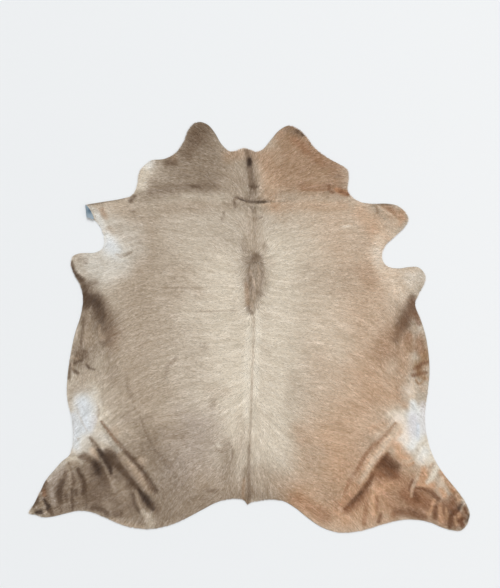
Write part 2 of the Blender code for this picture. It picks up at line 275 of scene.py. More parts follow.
def ruled(bm, start, stop, axis):
    """Cuts every face along parallel lines."""
    normal = Vector((axis == 0, axis == 1, 0))
    for place in np.arange(start, stop, CELL):
        geometry = bm.verts[:] + bm.edges[:] + bm.faces[:]
        bmesh.ops.bisect_plane(bm, geom=geometry, dist=TOUCHING, plane_co=normal * place, plane_no=normal)


def near_a_fold(x, y):
    """Whether each point lies on a fold or the flap, or close to one."""
    near = np.hypot(x - FLAP_MIDDLE[0], y - FLAP_MIDDLE[1]) < FLAP_SIZE
    for fold in FOLDS:
        for at_x, at_y, _, width in fold.stations:
            near |= np.hypot(x - at_x, y - at_y) < width + FOLD_MARGIN
    return near


def halved(bm):
    """Halves the edges whose middle is near a fold."""
    middles = np.array([(edge.verts[0].co + edge.verts[1].co).xy / 2 for edge in bm.edges])
    near = near_a_fold(middles[:, 0], middles[:, 1])
    edges = [edge for edge, is_near in zip(bm.edges, near) if is_near]
    bmesh.ops.subdivide_edges(bm, edges=edges, cuts=1, use_grid_fill=True)


skin_bm = bmesh.new()
skin_bm.faces.new([skin_bm.verts.new(point) for point in knife_line])
for axis in (0, 1):
    ruled(skin_bm, FIRST_LINES[axis], LAST_LINES[axis], axis)
bmesh.ops.remove_doubles(skin_bm, verts=skin_bm.verts[:], dist=SNAP)
halved(skin_bm)
halved(skin_bm)
bmesh.ops.triangulate(skin_bm, faces=[face for face in skin_bm.faces if len(face.verts) > 4])
print(len(skin_bm.faces), "cells")

# %% Giving it thickness and laying it
LEATHER = 0.0025
SHARP = 0.9  # radians: the cut edge stays crisp

flesh_side = skin_bm.verts[:]
raised = bmesh.ops.extrude_face_region(skin_bm, geom=skin_bm.faces[:])["geom"]
hair_side = [v for v in raised if isinstance(v, bmesh.types.BMVert)]
for verts, above in ((flesh_side, 0.0), (hair_side, LEATHER)):
    flat = np.array([v.co for v in verts])
    for v, place in zip(verts, lay(flat[:, 0], flat[:, 1], np.full(len(flat), above))):
        v.co = place
bmesh.ops.recalc_face_normals(skin_bm, faces=skin_bm.faces[:])
FLESH_CORNERS = len(flesh_side)  # they come before the hair side's in the mesh


def finished(name, bm):
    """A new object made of the bmesh, smooth except at its sharp edges."""
    mesh = bpy.data.meshes.new(name)
    bm.to_mesh(mesh)
    bm.free()
    mesh.shade_smooth()
    mesh.set_sharp_from_angle(angle=SHARP)
    obj = bpy.data.objects.new(name, mesh)
    bpy.context.scene.collection.objects.link(obj)
    return obj


skin = finished("skin", skin_bm)
print("the skin has", len(skin.data.vertices), "corners and", len(skin.data.polygons), "faces")

# %% [markdown]
# ## The animal's markings, and painted shade and light on the folds
#
# This coat isn't dyed: its colours are the animal's own, cream along the back, taupe on the left, tan on the
# right, umber on the neck, dark on the legs and flanks, and white in the groins. Along the folds, creases and
# ripples of the leather some strokes are painted shade and painted light, laid over the hair's own colours.
# An even noise couldn't put them where they belong, so we paint them as a painter does, with broad soft strokes
# first and fine ones last.
# A stroke is a path with a half-width at each point. Its softness is near 0 for a crisp edge and 1 for one
# that fades from the middle. A little noise makes the strokes' edges wander, as hair does.

# %% The coat's colours, as sRGB from 0 to 255
COLOURS = {
    "ivory": (223, 215, 200),
    "cream": (211, 201, 184),
    "sand": (192, 180, 163),
    "taupe": (169, 152, 132),
    "ash": (171, 157, 143),
    "greige": (147, 130, 111),
    "umber": (114, 94, 75),
    "sepia": (84, 64, 47),
    "black_brown": (52, 36, 25),
    "rose_brown": (167, 138, 111),
    "tan": (195, 174, 151),
    "camel": (188, 154, 123),
    "apricot": (205, 168, 135),
    "chestnut": (150, 109, 79),
    "bay": (114, 76, 50),
    "russet": (175, 127, 88),
    "ochre": (160, 128, 96),
    "white": (234, 235, 232),
    "blue_white": (203, 210, 219),
    "lilac_grey": (213, 210, 212),
    "pink_cream": (216, 200, 180),
    "pale_stone": (210, 204, 193),
    "milk": (236, 224, 210),
}
GROUND = "sand"  # what the strokes are laid on
print(len(COLOURS), "colours")

# %% [markdown]
# A stroke is written as its colour, its strength and its softness, then x, y and half-width in millimetres at
# each point of its path. The strokes are laid in the order in which they are written. The first ones are as
# broad as a hand and fade from their middle, and give each side of the animal its ground tone.

# %% Strokes: the ground tones
GROUND_TONES = (
    # left side and rump
    ("taupe", 0.7, 1, (-547, 511, 110), (-547, 136, 130), (-587, -264, 130), (-497, -564, 130)),
    ("taupe", 0.15, 1, (-372, 236, 150), (-397, -164, 150), (-347, -514, 130)),
    ("greige", 0.85, 1, (-497, -639, 100), (-372, -789, 130), (-497, -939, 120)),
    ("ash", 0.8, 1, (-272, -489, 100), (-297, -714, 120), (-172, -839, 110)),
    ("taupe", 0.75, 1, (-222, -814, 100), (-47, -844, 90), (153, -854, 90)),
    ("greige", 0.55, 0.9, (-117, -594, 30), (-102, -674, 30), (-117, -754, 35)),
    ("greige", 0.55, 0.9, (-412, -524, 35), (-342, -534, 35)),
    ("taupe", 0.65, 1, (83, -734, 45), (133, -774, 55), (213, -804, 50)),
    ("rose_brown", 0.3, 1, (173, -794, 60), (233, -834, 45)),
    ("rose_brown", 0.5, 0.9, (233, -514, 40), (288, -554, 40)),
    ("greige", 0.8, 1, (-647, -889, 90), (-397, -939, 70), (-197, -864, 50), (3, -849, 40), (203, -879, 40)),
    # right side and rump
    ("tan", 0.8, 1, (428, 561, 170), (478, 136, 180), (478, -264, 190), (428, -564, 160)),
    ("camel", 0.3, 1, (643, 486, 60), (643, 136, 90), (643, -114, 100)),
    ("camel", 0.5, 1, (613, -264, 100), (583, -389, 110), (478, -564, 150)),
    ("camel", 0.75, 1, (378, -724, 120), (553, -814, 130), (753, -789, 140)),
    ("camel", 0.75, 1, (253, -889, 80), (453, -939, 90), (653, -914, 80)),
    ("taupe", 0.45, 1, (323, -639, 60), (333, -734, 65), (363, -824, 55)),
    # loins, back and shoulders
    ("cream", 0.4, 1, (-247, -374, 60)),
    ("camel", 0.45, 0.9, (743, -274, 40), (733, -344, 40)),
    ("chestnut", 0.45, 0.9, (233, -864, 30), (273, -879, 35), (378, -954, 30)),
    ("cream", 0.8, 1, (-137, 311, 70), (-117, -14, 110), (-87, -314, 100), (-57, -464, 70)),
    ("cream", 0.8, 1, (143, 386, 90), (153, 36, 120), (143, -264, 100), (113, -564, 80)),
    ("cream", 0.75, 1, (3, 26, 50), (-2, -314, 60), (3, -514, 50)),
    ("cream", 0.4, 1, (-257, 386, 70), (-287, 86, 70)),
    ("cream", 0.45, 1, (278, 446, 90), (428, -89, 70), (353, -14, 70)),
    ("taupe", 0.4, 1, (-337, 276, 60), (-367, 176, 50)),
    ("taupe", 0.3, 1, (328, 261, 70), (478, 226, 60)),
    ("cream", 0.25, 1, (63, -614, 60), (163, -674, 70)),
)

# %% [markdown]
# The neck's two lobes are umber, darkest towards their tips. Dark hairs run down between them, the leather
# creases across the nape and the withers, with a dark line in each crease that is partly painted shade and
# partly the hair's own colour, and then the hair turns round a whorl into a dark wedge. From there one thin
# line runs down the back to the tail. Behind the neck the leather steps down, with painted light above the
# step and painted shade below it.

# %% Strokes: the neck
NECK = (
    # left lobe and shoulder
    ("greige", 0.9, 0.55, (-247, 961, 110), (-272, 836, 170), (-222, 776, 120)),
    ("umber", 0.75, 0.9, (-247, 991, 45), (-257, 946, 40)),
    ("umber", 0.6, 0.9, (-272, 966, 25), (-257, 941, 15)),
    ("umber", 0.55, 0.9, (-287, 916, 30), (-312, 876, 30), (-302, 851, 20)),
    ("umber", 0.35, 0.9, (-387, 701, 20), (-287, 701, 20), (-167, 706, 25)),
    ("umber", 0.75, 0.8, (-402, 823, 22), (-379, 823, 20)),
    ("rose_brown", 0.35, 0.9, (-377, 846, 15)),
    ("sepia", 0.5, 0.8, (-292, 704, 7), (-250, 704, 8.5)),
    ("cream", 0.75, 0.9, (-517, 781, 30), (-534, 736, 30), (-542, 701, 20)),
    ("white", 0.6, 0.9, (-502, 816, 27)),
    ("umber", 0.5, 0.9, (-492, 678, 20), (-447, 681, 22), (-407, 688, 20)),
    ("greige", 0.6, 0.9, (-477, 721, 30), (-427, 706, 35), (-367, 691, 30)),
    ("greige", 0.45, 0.9, (-547, 646, 25), (-457, 656, 30), (-367, 656, 25)),
    ("sepia", 0.6, 0.8, (-574, 654, 9), (-592, 636, 10)),
    # right lobe and shoulder
    ("rose_brown", 0.9, 0.55, (203, 961, 90), (278, 826, 170), (228, 761, 120)),
    ("umber", 0.42, 0.9, (198, 991, 22), (233, 976, 22), (263, 961, 15)),
    ("black_brown", 0.45, 0.8, (233, 981, 6), (250, 971, 6.5), (266, 959, 6.5)),
    ("chestnut", 0.55, 0.9, (223, 938, 17), (268, 901, 20), (291, 876, 20)),
    ("chestnut", 0.4, 0.9, (333, 846, 25), (358, 826, 25)),
    ("chestnut", 0.35, 0.9, (433, 796, 40), (443, 736, 40)),
    ("umber", 0.3, 0.9, (441, 756, 15)),
    ("chestnut", 0.35, 0.9, (263, 701, 17), (333, 701, 18), (393, 706, 17)),
    ("chestnut", 0.4, 0.7, (253, 691, 4.5), (323, 684, 4.5), (393, 688, 5)),
    ("chestnut", 0.35, 0.8, (423, 691, 20), (483, 666, 15)),
    ("russet", 0.6, 0.6, (433, 688, 10), (463, 677, 15), (491, 667, 10)),
    ("bay", 0.45, 0.8, (453, 679, 8), (478, 669, 10), (493, 664, 8)),
    ("bay", 0.5, 0.6, (396, 706, 6), (398, 686, 7), (418, 672, 6.5)),
    # nape
    ("taupe", 0.6, 0.9, (-67, 836, 60), (-87, 711, 60), (-67, 636, 50)),
    ("camel", 0.5, 0.9, (83, 846, 45), (93, 736, 50), (113, 636, 50)),
    ("tan", 0.45, 0.9, (113, 636, 50), (163, 576, 45)),
    ("rose_brown", 0.55, 0.9, (-107, 856, 30), (-47, 871, 30), (23, 856, 30), (93, 856, 40), (103, 806, 30)),
    ("taupe", 0.5, 0.9, (-47, 731, 30)),
    # step behind the neck: painted light above it, painted shade below it
    ("cream", 0.3, 0.8, (-397, 636, 25), (-222, 641, 25), (-107, 646, 25)),
    ("cream", 0.2, 0.8, (178, 636, 25), (403, 631, 25)),
    ("taupe", 0.45, 0.9, (-447, 601, 25), (-272, 606, 30), (-107, 606, 25)),
    ("camel", 0.3, 0.9, (128, 606, 25), (303, 606, 25), (478, 606, 20)),
)

# %% Strokes: the spine
SPINE = (
    # dark hairs down the neck
    ("umber", 0.65, 0.8, (-14, 886, 8), (-2, 836, 15), (5, 776, 16), (13, 726, 17), (18, 701, 16)),
    ("umber", 0.3, 1, (-2, 886, 25), (8, 761, 35), (13, 656, 30)),
    ("black_brown", 0.95, 0.8, (-1, 836, 11), (1, 813, 11)),
    ("sepia", 0.75, 0.6, (-5, 709, 4.5), (18, 702, 7), (46, 701, 4)),
    ("umber", 0.45, 0.7, (5, 696, 4), (7, 656, 4)),
    ("umber", 0.45, 0.7, (18, 696, 4), (18, 656, 4)),
    ("umber", 0.45, 0.7, (31, 696, 4), (30, 661, 4)),
    # creases of the nape: a painted shadow beside the crease, and a dark line in it,
    # partly painted shade and partly dark hair
    ("umber", 0.5, 0.9, (-67, 649, 7), (-27, 639, 12), (18, 633, 15), (63, 632, 11), (103, 631, 6)),
    ("black_brown", 0.85, 0.6, (-57, 644, 2), (-27, 632, 3), (-7, 626, 6.5), (23, 623, 8.5), (53, 624, 6),
        (93, 627, 2.5)),
    ("umber", 0.5, 0.7, (-75, 648, 4), (-54, 643, 4)),
    ("taupe", 0.6, 0.7, (88, 627, 4), (178, 630, 4)),
    ("umber", 0.55, 0.8, (-77, 641, 6), (-72, 601, 7)),
    ("umber", 0.4, 0.8, (-127, 571, 6), (-137, 531, 7)),
    # fork and creases of the withers, whose dark lines are partly painted shade in the creases
    ("umber", 0.65, 0.7, (8, 601, 4.5), (20, 576, 6), (28, 598, 4)),
    ("umber", 0.75, 0.7, (-1, 550, 4.5), (28, 541, 5.5), (63, 550, 4)),
    ("umber", 0.35, 0.7, (33, 586, 4), (33, 506, 4), (26, 436, 5)),
    ("taupe", 0.6, 1, (13, 611, 35), (18, 511, 35), (23, 396, 45)),
    # whorl
    ("umber", 0.22, 0.9, (-32, 436, 15), (-22, 386, 20)),
    ("umber", 0.25, 0.9, (73, 411, 12), (83, 391, 12)),
    # dark wedge behind the shoulders
    ("greige", 0.5, 0.6, (23, 366, 20), (26, 316, 45), (26, 261, 60), (23, 206, 60), (16, 151, 40),
        (11, 106, 25), (13, 71, 12)),
    ("umber", 0.28, 0.9, (28, 346, 30), (26, 296, 35), (18, 236, 35), (23, 181, 35), (3, 121, 20)),
    ("sepia", 0.38, 0.8, (13, 343, 9), (30, 354, 11)),
    ("umber", 0.35, 0.9, (48, 348, 17), (23, 326, 15)),
    ("umber", 0.3, 0.9, (-29, 338, 15), (-12, 326, 15)),
    ("umber", 0.32, 0.8, (-2, 296, 7), (0, 256, 8), (6, 216, 8), (11, 176, 7)),
    ("umber", 0.35, 0.9, (-22, 226, 15), (-9, 196, 15)),
    ("umber", 0.35, 0.8, (63, 316, 10), (66, 266, 9), (58, 216, 8)),
    ("umber", 0.4, 0.85, (48, 178, 13), (58, 163, 12)),
    ("sepia", 0.4, 0.8, (-8, 106, 8), (-4, 83, 9), (15, 73, 7)),
    ("rose_brown", 0.5, 0.8, (-17, 216, 10), (-13, 156, 12), (-10, 116, 9)),
    ("tan", 0.45, 0.7, (3, 286, 3.5), (16, 251, 4), (28, 216, 4)),
    ("tan", 0.4, 0.7, (18, 226, 4), (33, 196, 4)),
    ("tan", 0.4, 0.7, (43, 306, 4), (51, 256, 4.5), (43, 196, 4)),
    ("tan", 0.45, 0.8, (11, 121, 7), (13, 96, 7)),
    ("tan", 0.35, 0.8, (23, 181, 7), (23, 141, 8)),
    # line down the back, to the tail
    ("ivory", 0.5, 0.8, (-7, -14, 12), (-12, -164, 15), (-14, -324, 17), (-14, -464, 15)),
    ("ivory", 0.6, 0.9, (43, 76, 10), (38, -14, 15), (35, -164, 17), (30, -339, 15)),
    ("taupe", 0.4, 0.8, (22, 46, 6.5), (22, -34, 6.5), (20, -94, 6), (16, -194, 4.5), (13, -284, 5)),
    ("greige", 0.4, 0.8, (13, -264, 5), (9, -414, 5.5), (3, -564, 5.5), (-2, -624, 6.5)),
    ("umber", 0.42, 0.8, (0, -594, 6), (-3, -674, 7), (-4, -789, 7.5), (-8, -879, 8.5)),
    ("umber", 0.3, 0.9, (-9, -714, 25), (-11, -864, 30)),
    ("rose_brown", 0.5, 0.8, (-27, -764, 7.5), (-32, -854, 7.5)),
)

# %% [markdown]
# On the left, the foreleg and the armpit are pale, with painted shade in the armpit's crease. The flank has a
# dark band with short curls, and the groin is white, with a vein. The hock is the darkest place of all: dark
# hair deepened with painted shade in the creases and hollows on both sides of its pucker, with painted light
# on the crests. The shank has bands of umber and cream, with thin lines of painted light and shade along the
# ripples of its leather, and the rump is crossed by a few thin lines, where the animal scratched itself.

# %% Strokes: the left foreleg
LEFT_FORELEG = (
    # foreleg
    ("pale_stone", 0.6, 1, (-747, 556, 35), (-657, 506, 45), (-587, 456, 55), (-577, 386, 55), (-687, 316, 60),
        (-797, 316, 45)),
    ("tan", 0.25, 1, (-767, 601, 30), (-697, 601, 35), (-637, 596, 40)),
    ("greige", 0.8, 0.8, (-817, 613, 7), (-767, 619, 6), (-722, 629, 6), (-682, 637, 6), (-627, 646, 6)),
    ("pale_stone", 0.85, 0.8, (-802, 601, 8), (-777, 576, 17), (-757, 546, 20), (-732, 506, 25)),
    ("white", 0.4, 0.9, (-762, 561, 12), (-732, 491, 15)),
    ("rose_brown", 0.5, 0.85, (-739, 586, 11), (-727, 566, 13), (-714, 546, 10)),
    ("taupe", 0.6, 0.8, (-704, 488, 15), (-687, 471, 12)),
    ("greige", 0.25, 0.85, (-652, 506, 15), (-647, 483, 10)),
    ("sepia", 0.6, 0.7, (-594, 626, 9)),
    ("umber", 0.5, 0.7, (-582, 576, 9)),
    # armpit
    ("white", 0.8, 0.95, (-715, 451, 25), (-697, 416, 40), (-677, 376, 40)),
    ("pale_stone", 0.6, 0.9, (-642, 406, 35), (-617, 396, 25)),
    ("blue_white", 0.35, 1, (-702, 406, 30), (-672, 381, 30)),
    # the armpit's crease: a line of painted shade over grey-brown hair
    ("greige", 0.75, 0.75, (-664, 363, 6), (-642, 354, 9), (-617, 361, 9), (-592, 374, 6)),
    # chest lobe
    ("pale_stone", 0.85, 0.9, (-787, 316, 55), (-737, 276, 70), (-647, 316, 55)),
    ("greige", 0.35, 0.9, (-840, 343, 14), (-819, 326, 14)),
    ("taupe", 0.2, 0.9, (-862, 336, 15), (-827, 286, 20)),
    ("sepia", 0.85, 0.8, (-887, 326, 5), (-882, 291, 8.5), (-865, 261, 10), (-839, 236, 15)),
    ("taupe", 0.4, 0.9, (-807, 91, 20)),
    ("umber", 0.45, 0.9, (-817, 216, 23), (-787, 216, 25), (-767, 221, 15)),
)

# %% Strokes: the left flank
LEFT_FLANK = (
    # dark band
    ("greige", 0.75, 0.9, (-807, 56, 45), (-797, -74, 55), (-827, -164, 45)),
    ("umber", 0.68, 0.8, (-822, 186, 25), (-797, 141, 45), (-757, 111, 45), (-742, 61, 45), (-722, 16, 45),
        (-709, -24, 40), (-712, -64, 30)),
    ("sepia", 0.62, 0.85, (-822, 156, 20), (-802, 136, 30), (-762, 131, 30), (-752, 96, 25), (-742, 61, 25)),
    ("black_brown", 0.28, 0.9, (-817, 111, 17), (-792, 148, 17), (-762, 116, 20)),
    ("sepia", 0.2, 0.9, (-737, 41, 23), (-717, 11, 23)),
    ("sepia", 0.55, 0.8, (-832, 206, 15), (-825, 156, 20), (-822, 111, 20)),
    ("umber", 0.3, 1, (-692, 46, 45), (-682, -24, 45), (-697, -104, 40)),
    ("rose_brown", 0.2, 1, (-677, -34, 35), (-682, -94, 30)),
    ("taupe", 0.85, 0.85, (-807, 66, 15), (-807, 6, 20), (-807, -64, 35)),
    ("tan", 0.5, 0.8, (-747, 11, 5), (-750, -29, 6), (-732, -54, 13)),
    ("umber", 0.4, 0.9, (-867, -94, 15), (-857, -144, 30), (-877, -174, 20)),
    ("umber", 0.6, 0.8, (-827, 46, 5), (-832, -4, 6.5), (-840, -74, 6), (-838, -114, 6), (-807, -129, 5)),
    ("umber", 0.5, 0.8, (-847, -134, 17), (-822, -144, 17)),
    # curls and stripes
    ("sepia", 0.65, 0.8, (-874, -181, 6), (-857, -172, 6.5), (-837, -167, 5.5)),
    ("sepia", 0.75, 0.7, (-815, -187, 5.5), (-802, -204, 6), (-774, -213, 5)),
    ("sepia", 0.7, 0.7, (-887, -206, 5), (-872, -216, 5.5), (-855, -227, 5.5)),
    ("sepia", 0.5, 0.7, (-882, -222, 5), (-852, -234, 5)),
    ("tan", 0.5, 0.7, (-887, -149, 4.5), (-857, -157, 4.5)),
    ("tan", 0.5, 0.7, (-887, -184, 5), (-882, -209, 5)),
    # edge
    ("sepia", 0.55, 0.8, (-894, -184, 5), (-902, -254, 8)),
    ("taupe", 0.45, 0.9, (-837, -254, 30), (-797, -254, 35)),
    ("greige", 0.45, 0.9, (-692, -164, 30), (-682, -264, 35)),
    ("greige", 0.45, 0.9, (-607, -454, 35)),
    ("cream", 0.65, 0.9, (-787, -294, 30), (-762, -319, 25)),
)

# %% Strokes: the left groin, which is almost bare
LEFT_GROIN = (
    ("white", 0.85, 0.9, (-827, -344, 30), (-822, -389, 60), (-827, -489, 55), (-857, -554, 35)),
    ("blue_white", 0.42, 1, (-837, -364, 30), (-827, -434, 40), (-822, -499, 35)),
    ("blue_white", 0.45, 1, (-884, -444, 15), (-877, -489, 20), (-870, -544, 20), (-867, -594, 20)),
    ("pale_stone", 0.5, 1, (-857, -324, 30), (-797, -324, 30)),
    ("lilac_grey", 0.35, 0.8, (-787, -504, 15), (-772, -454, 15)),
    ("greige", 0.22, 0.7, (-862, -404, 4.5), (-842, -464, 5), (-812, -519, 5)),
    ("greige", 0.45, 0.6, (-760, -379, 4), (-750, -414, 4.5), (-755, -449, 4)),
    ("cream", 0.6, 0.9, (-727, -414, 20), (-722, -474, 20), (-737, -524, 20)),
    ("ivory", 0.5, 0.8, (-767, -344, 12), (-739, -414, 8), (-747, -464, 8), (-772, -514, 10)),
    ("white", 0.4, 0.8, (-867, -594, 25), (-847, -624, 15)),
    ("greige", 0.5, 0.7, (-857, -557, 6)),
    ("pale_stone", 0.75, 0.9, (-817, -564, 25), (-817, -609, 22)),
)

# %% Strokes: the left hock, with its pucker, and painted shade and light on its folds
LEFT_HOCK = (
    # hock: dark hair, with painted shade in the hollows on both sides of its small pucker
    ("umber", 0.66, 0.6, (-947, -839, 110), (-772, -799, 125), (-637, -824, 110)),
    ("greige", 0.5, 0.9, (-627, -874, 65), (-547, -944, 55)),
    ("pale_stone", 0.5, 0.9, (-877, -629, 15)),
    ("tan", 0.85, 0.8, (-782, -614, 17), (-772, -632, 20), (-760, -652, 14)),
    ("umber", 0.8, 0.8, (-847, -652, 11), (-824, -642, 16), (-802, -661, 15)),
    ("sepia", 0.5, 0.9, (-777, -674, 20), (-752, -714, 40), (-737, -754, 25)),
    ("black_brown", 0.75, 0.9, (-772, -679, 13), (-759, -699, 20), (-750, -724, 18)),
    ("sepia", 0.62, 0.9, (-712, -619, 15), (-687, -632, 22), (-667, -664, 25), (-657, -694, 22)),
    ("black_brown", 0.22, 0.9, (-694, -622, 13), (-677, -642, 17)),
    ("pale_stone", 0.65, 0.8, (-747, -544, 25), (-702, -569, 22), (-657, -609, 15)),
    ("umber", 0.7, 0.8, (-795, -554, 7), (-777, -579, 11), (-757, -604, 12)),
    ("black_brown", 0.9, 0.8, (-752, -612, 9), (-735, -637, 14), (-718, -659, 20), (-704, -684, 17),
        (-697, -709, 11), (-692, -731, 7)),
    ("sepia", 0.65, 0.9, (-702, -644, 17), (-687, -679, 18)),
    # pucker: painted shade in its crease and on its lee flank, painted light on its crest
    ("sepia", 0.8, 0.8, (-652, -694, 19), (-627, -719, 19), (-602, -749, 17), (-577, -779, 14),
        (-552, -809, 12)),
    ("black_brown", 0.85, 0.75, (-550, -814, 8), (-534, -834, 12), (-517, -857, 16), (-499, -882, 18),
        (-483, -907, 10)),
    ("umber", 0.5, 0.9, (-482, -889, 17), (-462, -919, 13)),
    ("tan", 0.6, 0.75, (-647, -637, 13), (-614, -674, 23), (-582, -711, 24), (-549, -749, 24), (-520, -784, 22),
        (-497, -816, 15)),
    ("umber", 0.75, 0.75, (-740, -471, 5), (-715, -507, 8), (-685, -546, 9.5), (-657, -579, 11.5),
        (-627, -611, 13), (-599, -639, 13.5), (-572, -669, 14), (-545, -701, 15)),
    ("sepia", 0.7, 0.75, (-617, -624, 6), (-574, -671, 8), (-547, -701, 10), (-524, -732, 12), (-504, -764, 15),
        (-487, -794, 16), (-472, -817, 13)),
    ("chestnut", 0.35, 0.7, (-740, -471, 4), (-697, -529, 6), (-657, -579, 6)),
    # buttock ridge: painted shade on one flank, painted light on the other
    ("taupe", 0.7, 0.8, (-567, -819, 8), (-559, -854, 10), (-549, -894, 10)),
    ("sepia", 0.5, 0.8, (-582, -839, 9), (-572, -884, 12), (-552, -919, 9)),
    ("cream", 0.55, 0.85, (-537, -917, 9), (-519, -936, 17), (-499, -957, 21), (-492, -984, 22)),
    # hollow, in painted shade, with painted light along the small pucker's crest, and down the leg
    ("taupe", 0.6, 0.9, (-677, -769, 15), (-652, -799, 30), (-627, -839, 27)),
    ("umber", 0.6, 0.9, (-732, -694, 15), (-722, -729, 20), (-697, -794, 15)),
    ("taupe", 0.75, 0.75, (-739, -659, 5), (-723, -694, 5.5), (-708, -729, 7), (-694, -762, 7), (-683, -794, 6),
        (-675, -824, 5.5)),
    ("umber", 0.55, 0.9, (-787, -804, 30), (-767, -859, 35)),
    ("sepia", 0.35, 0.9, (-757, -789, 9), (-717, -787, 14)),
    ("taupe", 0.4, 0.85, (-727, -869, 15), (-707, -887, 18), (-695, -901, 11)),
    ("sepia", 0.7, 0.8, (-792, -907, 9), (-762, -904, 14), (-747, -909, 12)),
    ("sepia", 0.55, 0.85, (-727, -917, 12), (-712, -934, 13)),
    ("umber", 0.65, 0.9, (-669, -932, 16), (-647, -931, 15)),
    ("sepia", 0.4, 0.9, (-582, -779, 15), (-607, -794, 15)),
    ("tan", 0.4, 0.9, (-687, -959, 13), (-627, -984, 14), (-537, -999, 13)),
)

# %% Strokes: the left shank
LEFT_SHANK = (
    # shank
    ("pale_stone", 0.75, 0.8, (-917, -672, 10), (-947, -699, 12), (-979, -734, 12), (-1002, -762, 9)),
    ("ash", 0.85, 0.8, (-932, -707, 17), (-967, -744, 21), (-987, -784, 19), (-993, -824, 16), (-985, -864, 12),
        (-967, -889, 9)),
    ("umber", 0.8, 0.8, (-1020, -774, 8), (-1027, -809, 12), (-1024, -844, 11)),
    ("chestnut", 0.55, 0.85, (-1027, -817, 9), (-1025, -839, 9)),
    ("taupe", 0.8, 0.8, (-892, -681, 13), (-862, -681, 15)),
    ("cream", 0.95, 0.7, (-912, -664, 9), (-892, -656, 10), (-870, -653, 9), (-851, -662, 6.5),
        (-835, -677, 6)),
    ("taupe", 0.75, 0.8, (-819, -684, 12), (-807, -687, 11)),
    ("greige", 0.85, 0.8, (-829, -707, 8), (-815, -729, 11), (-807, -759, 8)),
    ("umber", 0.8, 0.8, (-919, -724, 7), (-922, -754, 9.5)),
    ("sepia", 0.8, 0.8, (-934, -769, 12), (-947, -804, 16), (-951, -839, 16), (-945, -874, 13)),
    ("black_brown", 0.5, 0.8, (-925, -776, 6)),
    ("greige", 0.8, 0.85, (-910, -774, 10), (-909, -819, 11)),
    ("sepia", 0.6, 0.85, (-917, -837, 9), (-915, -859, 7.5)),
    # thin lines down the shank: painted light and shade where its leather ripples, over its bands of hair
    ("taupe", 0.85, 0.75, (-917, -687, 5.5), (-900, -714, 7), (-894, -749, 7), (-894, -789, 4.5)),
    ("umber", 0.6, 0.7, (-905, -679, 4), (-892, -707, 4), (-885, -739, 7)),
    ("umber", 0.85, 0.8, (-882, -744, 9), (-880, -784, 11)),
    ("sepia", 0.75, 0.8, (-869, -819, 11), (-865, -839, 8)),
    ("greige", 0.8, 0.8, (-870, -704, 7), (-865, -734, 7.5), (-859, -769, 9), (-853, -814, 6)),
    ("sepia", 0.9, 0.8, (-857, -707, 9), (-852, -724, 9), (-837, -749, 11), (-827, -774, 11), (-827, -804, 12),
        (-833, -832, 10)),
    ("greige", 0.7, 0.85, (-852, -859, 18), (-847, -894, 17)),
    ("sepia", 0.8, 0.75, (-887, -809, 6), (-885, -864, 5.5), (-884, -914, 5)),
    ("sepia", 0.65, 0.75, (-817, -804, 4.5), (-816, -859, 4), (-814, -904, 4.5)),
    ("greige", 0.6, 0.85, (-962, -894, 10), (-917, -889, 15)),
    ("umber", 0.7, 0.7, (-970, -906, 4.5), (-947, -884, 4.5), (-942, -919, 4)),
    # toe
    ("umber", 0.45, 0.85, (-1012, -854, 10), (-1042, -884, 18), (-1072, -909, 13)),
    ("black_brown", 0.85, 0.8, (-1027, -862, 5.5), (-1015, -881, 7.5), (-1002, -894, 10), (-1010, -912, 8)),
    ("black_brown", 0.9, 0.8, (-1067, -927, 7), (-1042, -923, 12)),
    ("sepia", 0.75, 0.8, (-994, -917, 12), (-987, -934, 10)),
    ("sepia", 0.65, 0.8, (-1080, -897, 6.5), (-1063, -873, 8.5), (-1054, -849, 6)),
    ("taupe", 0.75, 0.7, (-1047, -902, 6.5), (-1034, -882, 8), (-1040, -866, 6)),
    ("tan", 0.6, 0.8, (-1019, -924, 8)),
    ("taupe", 0.5, 0.8, (-1077, -912, 7)),
)

# %% Strokes: lines on the left of the rump
LEFT_RUMP_LINES = (
    ("umber", 0.35, 0.7, (-552, -429, 5), (-537, -474, 5), (-507, -554, 5), (-472, -617, 6), (-422, -661, 6),
        (-367, -704, 5)),
    ("umber", 0.25, 0.8, (-617, -239, 7.5), (-597, -339, 7.5), (-567, -424, 6)),
    ("umber", 0.22, 0.7, (-477, -549, 5), (-422, -674, 5), (-318, -804, 5)),
    ("umber", 0.28, 0.8, (-367, -154, 8), (-407, -194, 8), (-427, -264, 7)),
    ("umber", 0.22, 0.6, (-442, 198, 3.5), (-237, 195, 3.5)),
    ("umber", 0.2, 0.6, (-267, 78, 3.5), (-62, 82, 3.5)),
    ("ivory", 0.5, 0.7, (-177, -599, 7), (-157, -591, 10), (-142, -599, 7)),
    ("ivory", 0.35, 0.7, (-127, -569, 5), (-102, -584, 6), (-94, -614, 7), (-95, -652, 5)),
    ("umber", 0.45, 0.7, (-107, -579, 4.5), (-87, -609, 6), (-87, -654, 5)),
    ("umber", 0.4, 0.7, (-182, -579, 5), (-162, -614, 6), (-137, -624, 5)),
    ("cream", 0.4, 0.9, (-77, -514, 30), (-67, -589, 20)),
    ("umber", 0.5, 0.7, (-212, -814, 8), (-182, -822, 10), (-157, -814, 6)),
    ("umber", 0.3, 0.7, (-242, -859, 8), (-217, -859, 7)),
    ("umber", 0.22, 0.9, (-177, -364, 15), (-187, -394, 15)),
    ("umber", 0.18, 0.9, (-227, -99, 20)),
)

# %% [markdown]
# The right side has the same places as the left, and is warmer: tan, apricot and russet. The strokes aren't
# mirrored, because no animal has the same markings on both sides.

